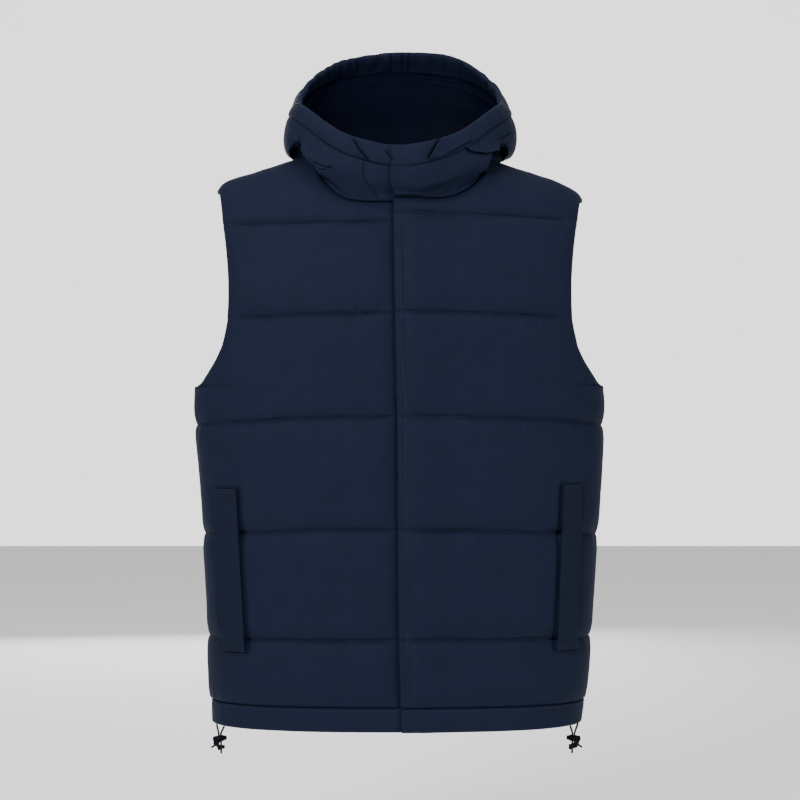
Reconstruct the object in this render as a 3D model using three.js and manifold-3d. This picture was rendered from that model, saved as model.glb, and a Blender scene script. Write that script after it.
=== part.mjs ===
// A quilted, hooded vest as it stands filled out with no wearer in it, in millimetres.
// +Z is up and the front faces -Y. The origin lies between the shoulders, at the level
// where the hood meets them, which is where a wearer's shoulders carry the vest.
// Every cloth piece is a wall: a plain inside, and an outside raised by its padding.
import * as THREE from 'three';
import { mergeVertices } from 'three/addons/utils/BufferGeometryUtils.js';
import Module from 'manifold-3d';

const wasm = await Module();
wasm.setup();
const { Manifold, Mesh: SolidMesh } = wasm;

// Driving dimensions
const SECTION_POWER = 2.6;        // how square the body's level sections are
const SHOULDER_POWER = 2.3;       // how square the fold over the shoulder is
const ARMPIT_Z = -280;
const HEM_Z = -695;
const NECK_HALF_WIDTH = 106;
const SEAM_GAP = 0.36;            // clear space between two pieces at a seam
const BODY_WALL = 9;              // a padded body panel at its fullest
const HOOD_WALL = 7;              // a padded hood panel at its fullest
const SEWN = 4;                   // any padded piece where it is stitched flat
const HEM_WALL = 5;
const RIM_WALL = 9;
const LINING_WALL = 1.6;
const LINING_GAP = 0.9;           // the hood's lining hangs a little clear of the padded cloth
const LINING_GAP_LOW = 6.5;       // and more so where that turns outward above the neck
const WELT_WALL = 3;
const EDGE_STRIP = 9;             // flat strip along the left front's edge
const UNDERLAP = 18;              // how far the right front runs on under the left front
const LAP_LIFT = 5.4;             // how far the left front is raised where it laps over
const LAP_SINK = 2.4;             // how far the hood's right edge sinks under the left one
const PUFF_REACH_UP = 40;         // distance from a quilting line to full padding
const PUFF_REACH_ACROSS = 24;     // the same, from an edge or a side seam
const CORD_RADIUS = 1.2;

// The body's half width on the wearer's right and left, and its depths, by height.
const BODY = [
  { z: HEM_Z, right: 238, left: 230, front: 113, back: 109 },
  { z: -666, right: 238.5, left: 233.5, front: 113, back: 107 },
  { z: -596, right: 240, left: 238, front: 113, back: 102 },
  { z: -496, right: 244, left: 245, front: 114, back: 100 },
  { z: -436, right: 247.5, left: 249, front: 114, back: 101 },
  { z: -396, right: 250.5, left: 251.5, front: 115, back: 103 },
  { z: -336, right: 256, left: 254.5, front: 115, back: 107 },
  { z: ARMPIT_Z, right: 257, left: 254.5, front: 114, back: 111 },
];

// The shoulder seam, by distance from the middle.
const SHOULDER = [
  { x: 0, right: 20, left: 18 },
  { x: 60, right: 16, left: 13 },
  { x: NECK_HALF_WIDTH, right: 10, left: 7 },
  { x: 142, right: 1.2, left: -4.8 },
  { x: 163, right: -5, left: -11.5 },
  { x: 184, right: -11.8, left: -18.8 },
  { x: 204, right: -17.8, left: -26.3 },
  { x: 220, right: -24.2, left: -34.6 },
  { x: 232, right: -32, left: -43 },
];

// The armhole's edge, by height, from the underarm up. The last row is in line with the tip.
const ARMHOLE = [
  { z: ARMPIT_Z, x: 256 },
  { z: -276, x: 250 },
  { z: -267, x: 243 },
  { z: -257, x: 235.5 },
  { z: -248, x: 229.5 },
  { z: -238, x: 224 },
  { z: -228, x: 219.5 },
  { z: -199, x: 213.5 },
  { z: -160, x: 212 },
  { z: -121, x: 214.5 },
  { z: -80, x: 220.5 },
  { z: -36, x: 232 },
];

// The left front's edge, where it lies over the right front.
const CLOSURE = [
  { z: HEM_Z, x: 1.8 },
  { z: -585, x: -1.2 },
  { z: -452, x: -2.4 },
  { z: -315, x: -3.6 },
  { z: -180, x: -6 },
  { z: -53, x: -7.9 },
  { z: 20, x: -8 },
];

// The sewn lines across the body: heights at the centre of each front, at the side and at
// the centre back. The first is the seam of the hem band, the last the yoke line.
const LINES = [
  { right: -666, left: -666, side: -667, back: -667 },
  { right: -585, left: -584, side: -588.5, back: -588 },
  { right: -451.5, left: -452, side: -463, back: -461 },
  { right: -316.5, left: -315.5, side: -329, back: -327 },
  { right: -191.5, left: -190, side: -203, back: -201 },
  { right: -78.5, left: -67.5, side: -82, back: -84 },
];

// Heights of the neck seam, by distance from the middle.
const NECKLINE = [
  { x: 0, right: -53.3, left: -50, back: -12 },
  { x: 45, right: -53, left: -49, back: -10 },
  { x: 67, right: -49, left: -44.5, back: -7.5 },
  { x: 82, right: -39, left: -37, back: -4 },
  { x: 94, right: -25, left: -27, back: 0 },
  { x: 101, right: -12, left: -15, back: 4 },
  { x: NECK_HALF_WIDTH, right: 9.5, left: 5, back: 9.5 },
];

// Rows of a panel between two sewn lines, as shares of the way up.
const PLAIN_ROWS = [0, 0.07, 0.22, 0.78, 0.93];
const ROWS_UP = [
  [0, 0.11, 0.35, 0.65, 0.89],
  PLAIN_ROWS,
  PLAIN_ROWS,
  [0, 0.08, 0.389, 0.43, 0.5, 0.6, 0.75, 0.92],
  PLAIN_ROWS,
];
const YOKE_ROWS = [0, 0.12, 0.32, 0.55, 0.77, 0.91, 1];
const HEM_ROWS_DOWN = [0, 0.25, 0.6, 0.88, 1];

// Columns of a panel, by their distance from the middle where they meet the top edge.
const RIGHT_NECK_COLUMNS = [-10, 7, 18, 38, 60, 80, 94, 101, 104.8];
const LEFT_NECK_COLUMNS = [-8, 1, 14, 36, 60, 80, 94, 101, 104.8];
const BACK_NECK_COLUMNS = [0, 34, 62, 84, 99];
const SHOULDER_COLUMNS = [NECK_HALF_WIDTH, 118, 142, 168, 194, 216, 232];

// Level loops of the hood's outside: half width, front and back, and heights at the front,
// the sides and the back, and the rise between front and sides. The seam of the rim's
// casing and the rim itself come last.
const HOOD_LOOPS = [
  { width: 138, front: -88, back: 104, zFront: -36, zSide: 8, zBack: -14, zCheek: 12 },
  { width: 146, front: -93, back: 124, zFront: -25, zSide: 24, zBack: 46, zCheek: 30 },
  { width: 142, front: -96, back: 124, zFront: -14, zSide: 55, zBack: 134, zCheek: 48 },
  { width: 128, front: -96, back: 104, zFront: 11.5, zSide: 79, zBack: 158, zCheek: 48 },
];
const HOOD_POWER = 2.5;
const HOOD_ROWS = [0.13, 0.25, 0.42, 0.6, 0.78, 0.92, 1];
const NECK_CENTRE_Y = -10;
const NECK_GAP = 0.5;
const NECK_STAND = 7;             // the hood first stands straight up from its neck seam
const CASING_SEAM_LOOP = 2;
const CENTRE_PANEL_COLUMNS = 1;   // back neck columns on each side of the hood's middle panel

// Outline of the casing round the hood's rim: share of its height, and depth in the wall.
const CASING = [
  { up: 0.013, depth: 3 },
  { up: 0.35, depth: 0.3 },
  { up: 0.75, depth: 0 },
  { up: 0.97, depth: 2.6 },
  { up: 0.97, depth: 6.6 },
  { up: 0.72, depth: RIM_WALL },
  { up: 0.35, depth: RIM_WALL - 0.6 },
  { up: 0.013, depth: HOOD_WALL },
];
const GATHER_STEPS = 4;           // sections of the casing in each column of the hood
const GATHER_DEPTH = 1.3;

// Welts of the hand pockets: upper and lower ends of the sewn inner edge and the outer edge.
const WELTS = {
  right: { top: -404, bottom: -601, inTop: 198, inBottom: 187, outTop: 227, outBottom: 214 },
  left: { top: -399, bottom: -599, inTop: 198, inBottom: 190, outTop: 220, outBottom: 215 },
};
const WELT_COLUMNS = 4;
const WELT_ROWS = 10;

// Where the two elastic cord ends leave the hem, and where lock and knots hang.
const DRAWCORDS = {
  right: { outer: -225.8, inner: -215.5, lockX: -221.2, lockZ: -711.8, tilt: -0.14 },
  left: { outer: 219.4, inner: 208.6, lockX: 213.2, lockZ: -711.6, tilt: 0.09 },
};
const LOCK_LENGTH = 17.5;
const LOCK_RADIUS = 3.75;
const STRAND_SPACING = 2.9;

const NAVY = '#1d2839';
const materials = {
  shell: new THREE.MeshStandardMaterial({ color: NAVY, roughness: 0.78, metalness: 0 }),
  trim: new THREE.MeshStandardMaterial({ color: '#1c2637', roughness: 0.82, metalness: 0 }),
  lining: new THREE.MeshStandardMaterial({ color: '#0d1422', roughness: 0.7, metalness: 0 }),
  cord: new THREE.MeshStandardMaterial({ color: '#161e2e', roughness: 0.85, metalness: 0 }),
  lock: new THREE.MeshStandardMaterial({ color: '#1a2336', roughness: 0.45, metalness: 0 }),
};

// Small helpers
const clamp = (v, low, high) => Math.min(high, Math.max(low, v));
const mix = (a, b, t) => a + (b - a) * t;
const smooth = (t) => {
  const c = clamp(t, 0, 1);
  return c * c * (3 - 2 * c);
};
const signedPower = (v, p) => Math.sign(v) * Math.abs(v) ** p;
const sideName = (side) => (side < 0 ? 'right' : 'left');
const vector = (x, y, z) => new THREE.Vector3(x, y, z);

// A value read from a table, on a smooth curve through its rows.
function readTable(rows, key, at, column) {
  let i = 0;
  while (i < rows.length - 2 && at > rows[i + 1][key]) i++;
  const a = rows[i], b = rows[i + 1];
  const before = rows[Math.max(0, i - 1)], after = rows[Math.min(rows.length - 1, i + 2)];
  const span = b[key] - a[key];
  const t = clamp((at - a[key]) / span, 0, 1);
  const slopeA = (b[column] - before[column]) / (b[key] - before[key]) * span;
  const slopeB = (after[column] - a[column]) / (after[key] - a[key]) * span;
  const t2 = t * t, t3 = t2 * t;
  return (2 * t3 - 3 * t2 + 1) * a[column] + (t3 - 2 * t2 + t) * slopeA
    + (3 * t2 - 2 * t3) * b[column] + (t3 - t2) * slopeB;
}

// The body's level section, a rounded box of unit half width and depth, walked by its length
// from the centre front to the side.
const SECTION_STEPS = 400;
const SECTION_WIDTH = 250, SECTION_DEPTH = 112;
const section = [];
for (let i = 0, length = 0; i <= SECTION_STEPS; i++) {
  const angle = (Math.PI / 2) * (i / SECTION_STEPS);
  const x = Math.sin(angle) ** (2 / SECTION_POWER);
  const y = i === SECTION_STEPS ? 0 : Math.cos(angle) ** (2 / SECTION_POWER);
  const last = section[i - 1];
  if (last) length += Math.hypot((x - last.x) * SECTION_WIDTH, (y - last.y) * SECTION_DEPTH);
  section.push({ x, y, length });
}
const SECTION_LENGTH = section.at(-1).length;

function sectionBetween(column, at) {
  let low = 0, high = SECTION_STEPS;
  while (high - low > 1) {
    const middle = (low + high) >> 1;
    if (section[middle][column] < at) low = middle; else high = middle;
  }
  const a = section[low], b = section[high];
  const t = clamp((at - a[column]) / (b[column] - a[column]), 0, 1);
  return { x: mix(a.x, b.x, t), y: mix(a.y, b.y, t), length: mix(a.length, b.length, t) };
}

// Share of the way round from the centre (0) to the side (1) at a distance x from the middle.
function shareOfX(side, x, z) {
  const width = readTable(BODY, 'z', Math.min(z, ARMPIT_Z), sideName(side));
  return Math.sign(x) * sectionBetween('x', Math.min(1, Math.abs(x) / width)).length / SECTION_LENGTH;
}

const shoulderZ = (side, x) => readTable(SHOULDER, 'x', Math.abs(x), sideName(side));

// A point of the body's outside. side is -1 on the wearer's right and 1 on the left, faces is
// -1 in front and 1 behind. Up to the armpit, level is a height; above it, turn says how far
// the cloth is from the shoulder seam, from a quarter turn at the armpit down to 0.
function bodyPoint(side, faces, share, level, turn) {
  const width = readTable(BODY, 'z', level, sideName(side));
  const depth = readTable(BODY, 'z', level, faces < 0 ? 'front' : 'back');
  const s = sectionBetween('length', Math.min(1, Math.abs(share)) * SECTION_LENGTH);
  const x = Math.sign(share) * s.x * width;
  const y = faces * depth * s.y;
  if (turn === undefined) return vector(side * x, y, level);
  const top = shoulderZ(side, x);
  const fallen = 1 - Math.max(0, Math.cos(turn)) ** (2 / SHOULDER_POWER);
  const fold = Math.abs(Math.sin(turn)) ** (2 / SHOULDER_POWER);
  return vector(side * x, y * fold, top - (top - ARMPIT_Z) * fallen);
}

function turnOf(side, x, z) {
  const top = shoulderZ(side, x);
  const up = clamp(1 - (top - z) / (top - ARMPIT_Z), 0, 1);
  return Math.acos(up ** (SHOULDER_POWER / 2));
}

// The outside's point and outward direction.
function bodyFrame(side, faces, share, z, turn) {
  const step = 1e-3;
  const at = (ds, dv) => (turn === undefined
    ? bodyPoint(side, faces, share + ds, Math.min(ARMPIT_Z, z + dv * 300))
    : bodyPoint(side, faces, share + ds, ARMPIT_Z, Math.max(0, turn - dv)));
  const across = at(step, 0).sub(at(-step, 0));
  const up = at(0, step).sub(at(0, -step));
  const normal = across.cross(up).normalize().multiplyScalar(-side * faces);
  return { point: at(0, 0), normal };
}

// Height of a sewn line at a share of the way round.
function lineZ(line, side, faces, share) {
  const centre = faces < 0 ? line[sideName(side)] : line.back;
  return mix(centre, line.side, Math.min(1, Math.abs(share)) ** 1.7);
}

const closureX = (z) => readTable(CLOSURE, 'z', z, 'x');

// Distance of a front's inner edge from the middle, on its own side.
function innerEdge(side, faces, z) {
  if (faces > 0) return 0;
  return side > 0 ? closureX(z) : -(closureX(z) + UNDERLAP);
}

// Share of the way round for a column at a height. across runs from the inner edge, 0, to
// the side seam or the armhole, 1.
function shareAt(side, faces, across, z) {
  const gap = SEAM_GAP / 2 / SECTION_LENGTH;
  const outer = z <= ARMPIT_Z ? 1 - gap
    : Math.min(1 - gap, shareOfX(side, readTable(ARMHOLE, 'z', z, 'x'), z));
  return mix(shareOfX(side, innerEdge(side, faces, z), z), outer, across);
}

// The frames of a column, row by row from the hem's seam to the neck or shoulder seam.
function bodyColumn(side, faces, topX) {
  const edge = innerEdge(side, faces, 20);
  const tip = SHOULDER_COLUMNS.at(-1);
  const across = (topX - edge) / (tip - edge);
  const frames = [];
  const place = (z) => {
    const share = shareAt(side, faces, across, z);
    const turned = z > ARMPIT_Z;
    const width = readTable(BODY, 'z', ARMPIT_Z, sideName(side));
    const x = sectionBetween('length', Math.abs(share) * SECTION_LENGTH).x * width * Math.sign(share);
    return { share, x, turn: turned ? turnOf(side, x, z) : undefined };
  };
  const heightAt = (line, up, above) => {
    let share = across;
    let z = 0;
    for (let i = 0; i < 4; i++) {
      z = mix(lineZ(line, side, faces, share), lineZ(above, side, faces, share), up);
      share = place(z).share;
    }
    return z;
  };
  ROWS_UP.forEach((rows, i) => rows.forEach((up, j) => {
    const z = heightAt(LINES[i], up, LINES[i + 1]) + (i + j === 0 ? SEAM_GAP : 0);
    const { share, turn } = place(z);
    frames.push({ ...bodyFrame(side, faces, share, z, turn), line: j === 0 });
  }));
  const last = LINES.at(-1);
  const start = place(heightAt(last, 0, last));
  const inNeck = topX < NECK_HALF_WIDTH;
  const column = faces < 0 ? sideName(side) : 'back';
  const neckZ = readTable(NECKLINE, 'x', Math.abs(topX), column);
  const endTurn = inNeck ? turnOf(side, topX, Math.min(neckZ, shoulderZ(side, topX))) : 0;
  const gapTurn = seamTurn(side, faces, topX);
  YOKE_ROWS.forEach((up, j) => {
    const x = mix(start.x, topX, up);
    const turn = mix(start.turn, Math.max(endTurn, gapTurn), up);
    frames.push({ ...bodyFrame(side, faces, shareOfX(side, x, ARMPIT_Z), ARMPIT_Z, turn),
      line: j === 0 || up === 1 });
  });
  return frames;
}

// The turn at which a panel stops, half a seam's gap from the shoulder seam.
function seamTurn(side, faces, x) {
  const depth = readTable(BODY, 'z', ARMPIT_Z, faces < 0 ? 'front' : 'back');
  const width = readTable(BODY, 'z', ARMPIT_Z, sideName(side));
  const y = depth * sectionBetween('x', Math.min(1, Math.abs(x) / width)).y;
  return Math.asin((SEAM_GAP / 2 / y) ** (SHOULDER_POWER / 2));
}

// Fullness of the padding, from 0 at a sewn line to 1 at a distance of its reach.
const fullness = (distance, reach) => 1 - (1 - clamp(distance / reach, 0, 1)) ** 2.4;

function runningLengths(frames) {
  const lengths = [0];
  for (let i = 1; i < frames.length; i++) {
    lengths.push(lengths[i - 1] + frames[i].point.distanceTo(frames[i - 1].point));
  }
  return lengths;
}

// The outer and inner points of a padded panel given its columns of frames. flat is the width
// of the strip with no padding along the first column, lift raises the cloth near it.
function paddedGrids(columns, wall, { flat = 0, lift = 0, bothEdges = true }) {
  const rowCount = columns[0].length;
  const upLengths = columns.map(runningLengths);
  const acrossLengths = [];
  for (let i = 0; i < rowCount; i++) acrossLengths.push(runningLengths(columns.map((c) => c[i])));
  const outer = [], inner = [];
  for (let i = 0; i < rowCount; i++) {
    outer.push([]);
    inner.push([]);
    columns.forEach((frames, j) => {
      const lengths = upLengths[j];
      const toLines = frames.map((f, k) => (f.line ? Math.abs(lengths[k] - lengths[i]) : 1e9));
      const toLine = Math.min(...toLines);
      const start = acrossLengths[i][j], end = acrossLengths[i].at(-1) - start;
      const toEdge = Math.min(bothEdges ? Math.max(0, start - flat) : 1e9, end);
      const full = fullness(toLine, PUFF_REACH_UP) * fullness(toEdge, PUFF_REACH_ACROSS);
      const raised = lift * (1 - smooth((start - UNDERLAP - 3) / 18));
      const { point, normal } = frames[i];
      const thick = mix(SEWN, wall, full);
      outer[i].push(point.clone().addScaledVector(normal, thick - wall + raised));
      inner[i].push(point.clone().addScaledVector(normal, raised - wall));
    });
  }
  return { outer, inner };
}

// Geometry of the wall between an outer and an inner grid of points, closed round its rim.
function wallGeometry({ outer, inner }) {
  const rows = outer.length, columns = outer[0].length;
  const positions = [];
  for (const grid of [outer, inner]) {
    for (const row of grid) for (const p of row) positions.push(p.x, p.y, p.z);
  }
  const at = (layer, i, j) => layer * rows * columns + i * columns + j;
  const index = [];
  const quad = (a, b, c, d) => index.push(a, b, c, a, c, d);
  for (let i = 0; i < rows - 1; i++) {
    for (let j = 0; j < columns - 1; j++) {
      quad(at(0, i, j), at(0, i, j + 1), at(0, i + 1, j + 1), at(0, i + 1, j));
      quad(at(1, i, j), at(1, i + 1, j), at(1, i + 1, j + 1), at(1, i, j + 1));
    }
  }
  for (let j = 0; j < columns - 1; j++) {
    quad(at(1, 0, j), at(1, 0, j + 1), at(0, 0, j + 1), at(0, 0, j));
    quad(at(0, rows - 1, j), at(0, rows - 1, j + 1), at(1, rows - 1, j + 1), at(1, rows - 1, j));
  }
  for (let i = 0; i < rows - 1; i++) {
    quad(at(0, i, 0), at(0, i + 1, 0), at(1, i + 1, 0), at(1, i, 0));
    const last = columns - 1;
    quad(at(1, i, last), at(1, i + 1, last), at(0, i + 1, last), at(0, i, last));
  }
  return closedGeometry(positions, index);
}

// A geometry whose faces all look outward, whichever way round they were listed.
function closedGeometry(positions, index) {
  const geometry = new THREE.BufferGeometry();
  geometry.setAttribute('position', new THREE.Float32BufferAttribute(positions, 3));
  let volume = 0;
  const corner = (i) => vector(...positions.slice(3 * index[i], 3 * index[i] + 3));
  for (let i = 0; i < index.length; i += 3) volume += corner(i).dot(corner(i + 1).cross(corner(i + 2)));
  if (volume < 0) {
    for (let i = 0; i < index.length; i += 3) [index[i + 1], index[i + 2]] = [index[i + 2], index[i + 1]];
  }
  geometry.setIndex(index);
  geometry.computeVertexNormals();
  return geometry;
}

// A closed tube through rings of points, with flat ends.
function ringGeometry(rings) {
  const count = rings[0].length;
  const positions = rings.flat().flatMap((p) => [p.x, p.y, p.z]);
  const index = [];
  for (let i = 0; i < rings.length - 1; i++) {
    for (let j = 0; j < count; j++) {
      const k = (j + 1) % count;
      const a = i * count + j, b = i * count + k, c = a + count, d = b + count;
      index.push(a, b, d, a, d, c);
    }
  }
  const last = (rings.length - 1) * count;
  for (let j = 1; j < count - 1; j++) {
    index.push(0, j + 1, j);
    index.push(last, last + j, last + j + 1);
  }
  return closedGeometry(positions, index);
}

// Body panels
const FRONT_RIGHT_COLUMNS = [...RIGHT_NECK_COLUMNS, ...SHOULDER_COLUMNS];
const FRONT_LEFT_COLUMNS = [...LEFT_NECK_COLUMNS, ...SHOULDER_COLUMNS];
const BACK_COLUMNS = [...BACK_NECK_COLUMNS, ...SHOULDER_COLUMNS];

function frontPanel(side) {
  const tops = side < 0 ? FRONT_RIGHT_COLUMNS : FRONT_LEFT_COLUMNS;
  const columns = tops.map((x) => bodyColumn(side, -1, x));
  return paddedGrids(columns, BODY_WALL, {
    flat: side < 0 ? UNDERLAP + 4 : EDGE_STRIP,
    lift: side < 0 ? 0 : LAP_LIFT,
  });
}

function backPanel() {
  const right = BACK_COLUMNS.slice(1).reverse().map((x) => bodyColumn(-1, 1, x));
  const left = BACK_COLUMNS.map((x) => bodyColumn(1, 1, x));
  return paddedGrids([...right, ...left], BODY_WALL, {});
}

// The columns of a hem band, which hangs below the panels and is folded double.
function hemBand(side, faces) {
  const tops = faces > 0 ? BACK_COLUMNS : side < 0 ? FRONT_RIGHT_COLUMNS : FRONT_LEFT_COLUMNS;
  const edge = innerEdge(side, faces, 20);
  const tip = SHOULDER_COLUMNS.at(-1);
  return tops.map((topX) => {
    const across = (topX - edge) / (tip - edge);
    return HEM_ROWS_DOWN.map((down) => {
      let z = mix(-667, HEM_Z, down);
      const share = shareAt(side, faces, across, z);
      const top = lineZ(LINES[0], side, faces, share);
      z = mix(top, HEM_Z, down);
      return { ...bodyFrame(side, faces, share, z), line: false };
    });
  });
}

// The band's outer and inner points. A band that laps is thinner where another lies on it.
function hemGrids(columns, { lift = 0, laps = false }) {
  const outer = [], inner = [];
  HEM_ROWS_DOWN.forEach((down, i) => {
    outer.push([]);
    inner.push([]);
    const lengths = runningLengths(columns.map((c) => c[i]));
    columns.forEach((frames, j) => {
      const { point, normal } = frames[i];
      const raised = lift * (1 - smooth((lengths[j] - UNDERLAP - 3) / 18));
      const inLap = laps && lengths[j] < UNDERLAP + 3;
      const rounded = down === 0 || down === 1 ? 0.8 : 0;
      const thick = (inLap ? SEWN : HEM_WALL) - rounded;
      outer[i].push(point.clone().addScaledVector(normal, thick - BODY_WALL + raised));
      inner[i].push(point.clone().addScaledVector(normal, raised - BODY_WALL + (down === 1 ? 0.6 : 0)));
    });
  });
  return { outer, inner };
}

const frontRight = frontPanel(-1);
const frontLeft = frontPanel(1);
const back = backPanel();

// Hood

// The points where a body panel ends at the neck, moved on past the seam's gap, square to the
// panel's edge and along its surface.
function neckEdge(grids, column, nextColumn) {
  const end = grids.outer.length - 1;
  const outer = grids.outer[end][column], inner = grids.inner[end][column];
  const tangent = grids.outer[end][nextColumn].clone().sub(outer);
  const move = tangent.cross(outer.clone().sub(inner)).setLength(NECK_GAP);
  if (move.dot(vector(-outer.x, NECK_CENTRE_Y - outer.y, 0)) < 0) move.negate();
  return { outer: outer.clone().add(move), inner: inner.clone().add(move) };
}

const between = (a, b) => ({
  outer: a.outer.clone().lerp(b.outer, 0.5),
  inner: a.inner.clone().lerp(b.inner, 0.5),
});

// The neck edge from one front's edge, past the shoulder, round the back to the other front.
function neckEdges() {
  const half = (side, panel, count) => {
    const front = Array.from({ length: count + 1 }, (_, j) => neckEdge(panel, j, j ? j - 1 : 1));
    const middle = BACK_COLUMNS.length - 1;
    const behind = [...BACK_NECK_COLUMNS, NECK_HALF_WIDTH].map((_, j) => {
      const column = middle + side * j;
      return neckEdge(back, column, j ? column - side : column + side);
    }).reverse();
    const corner = between(front.pop(), behind.shift());
    return [...front, corner, ...behind];
  };
  const right = half(-1, frontRight, RIGHT_NECK_COLUMNS.length);
  const left = half(1, frontLeft, LEFT_NECK_COLUMNS.length).reverse();
  return [...right, ...left.slice(1)];
}

// Point of one of the hood's level loops over a point of the neck, at an angle from the
// centre front. Near the centre it keeps the neck point's share of the width.
function loopPoint(loop, angle, neckX) {
  const middle = (loop.front + loop.back) / 2, reach = (loop.back - loop.front) / 2;
  const round = signedPower(Math.sin(angle), 2 / HOOD_POWER);
  const share = mix(neckX / NECK_HALF_WIDTH, round, smooth(Math.abs(neckX) / 60));
  const x = loop.width * share;
  const y = middle - reach * Math.sign(Math.cos(angle))
    * Math.max(0, 1 - Math.abs(share) ** HOOD_POWER) ** (1 / HOOD_POWER);
  const zMiddle = (loop.zFront + loop.zBack) / 2;
  const z = zMiddle - (loop.zBack - loop.zFront) / 2 * Math.cos(angle)
    + (loop.zSide - zMiddle + loop.zCheek * Math.max(0, Math.cos(angle))) * Math.sin(angle) ** 2;
  return vector(x, y, z);
}

// The hood's profile over one point of the neck edge, as a smooth curve to the rim.
function hoodProfile(edge) {
  const { x, y } = edge.outer;
  const angle = Math.atan2(x / NECK_HALF_WIDTH, -(y - NECK_CENTRE_Y) / 74);
  const stand = edge.outer.clone().add(vector(1.5 * Math.sin(angle), -1.5 * Math.cos(angle), NECK_STAND));
  const loops = HOOD_LOOPS.map((loop) => loopPoint(loop, angle, x));
  return new THREE.CatmullRomCurve3([edge.outer, stand, ...loops], false, 'centripetal');
}

const edges = neckEdges();
const profiles = edges.map(hoodProfile);

// A frame of the hood's outside at a column, which may lie between two, and a share of the
// way up its profile.
function hoodFrame(column, up) {
  const at = (c, u) => {
    const i = Math.min(profiles.length - 2, Math.floor(c));
    const a = profiles[i].getPoint(clamp(u, 0, 1)), b = profiles[i + 1].getPoint(clamp(u, 0, 1));
    return a.lerp(b, c - i);
  };
  const low = Math.max(0, column - 0.5), high = Math.min(profiles.length - 1, column + 0.5);
  const across = at(high, up).sub(at(low, up));
  const rising = at(column, up + 0.02).sub(at(column, up - 0.02));
  return { point: at(column, up), normal: rising.cross(across).normalize() };
}

const SEAM_UP = (CASING_SEAM_LOOP + 2) / (HOOD_LOOPS.length + 1);
const LAST_COLUMN = profiles.length - 1;

// How far the cloth is raised near the left front's edge, where it laps over.
function hoodLift(column) {
  return LAP_LIFT * smooth((column - (LAST_COLUMN - 3.4)) / 1.4);
}

// A padded hood panel between two columns, thinner along its sewn edges.
function hoodPanel(first, last) {
  const outer = [], inner = [];
  for (const up of [0, ...HOOD_ROWS]) {
    outer.push([]);
    inner.push([]);
    const columns = [];
    for (let c = first; c <= last; c++) columns.push(c);
    const frames = columns.map((c, j) => {
      const shift = (j === 0 && c !== 0 ? 0.012 : 0) - (c === last && c !== LAST_COLUMN ? 0.012 : 0);
      return hoodFrame(c + shift, up * SEAM_UP - (up === 1 ? 0.001 : 0));
    });
    const lengths = runningLengths(frames);
    columns.forEach((c, j) => {
      const { point, normal } = frames[j];
      const toEdge = Math.min(c < 3 || first > 0 ? lengths[j] - (first ? 0 : UNDERLAP) : 99,
        lengths.at(-1) - lengths[j] - (last === LAST_COLUMN ? EDGE_STRIP : 0));
      const full = fullness(Math.max(0, toEdge), 22)
        * fullness(Math.min(up * 110, (1 - up) * 110), 30);
      const thick = mix(SEWN, HOOD_WALL, full);
      const raised = hoodLift(c) - (c < 2 ? LAP_SINK * smooth(up / 0.3) : 0);
      const settle = smooth(up / 0.13);
      const sunk = mix(0, thick - HOOD_WALL, settle) + raised * settle;
      const shift = point.clone().sub(hoodFrame(c, up * SEAM_UP).point);
      outer.at(-1).push(up === 0 ? edges[c].outer.clone().add(shift)
        : point.clone().addScaledVector(normal, sunk));
      inner.at(-1).push(up === 0 ? edges[c].inner.clone().add(shift)
        : point.clone().addScaledVector(normal, raised - HOOD_WALL));
    });
  }
  return { outer, inner };
}

const RIGHT_SEAM = RIGHT_NECK_COLUMNS.length + BACK_NECK_COLUMNS.length - CENTRE_PANEL_COLUMNS;
const LEFT_SEAM = RIGHT_SEAM + 2 * CENTRE_PANEL_COLUMNS;

// The lining hangs just inside the padded panels, from where they spread out over the
// shoulders to the casing.
const LINING_START = 3;

function hoodLining() {
  const outer = [], inner = [];
  for (const up of HOOD_ROWS.slice(2, -1)) {
    outer.push([]);
    inner.push([]);
    for (let c = LINING_START; c <= LAST_COLUMN - LINING_START - 1; c++) {
      const { point, normal } = hoodFrame(c, up * SEAM_UP);
      const depth = HOOD_WALL + mix(LINING_GAP_LOW, LINING_GAP, smooth(up / 0.6)) - hoodLift(c);
      outer.at(-1).push(point.clone().addScaledVector(normal, -depth));
      inner.at(-1).push(point.clone().addScaledVector(normal, -depth - LINING_WALL));
    }
  }
  return { outer, inner };
}

// The casing round the rim is a flat tube of cloth, drawn up into gathers.
function hoodRim() {
  const rings = [];
  const steps = LAST_COLUMN * GATHER_STEPS;
  for (let k = 0; k <= steps; k++) {
    const column = k / GATHER_STEPS;
    const fromEnd = Math.min(column, LAST_COLUMN - column);
    const full = smooth(fromEnd / 3);
    const gather = GATHER_DEPTH * full * Math.sin(k * 2.25 + 0.9 * Math.sin(k * 0.41));
    const raised = hoodLift(column);
    rings.push(CASING.map(({ up, depth }, i) => {
      const { point, normal } = hoodFrame(column, mix(SEAM_UP + 0.001, 1, up));
      const share = depth / RIM_WALL;
      const flat = HOOD_WALL - SEWN + share * (SEWN - 0.4);
      const wave = i === 0 || i > CASING.length - 3 ? 0 : gather;
      return point.clone().addScaledVector(normal, raised + wave - mix(flat, depth, full));
    }));
  }
  return ringGeometry(rings);
}

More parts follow.
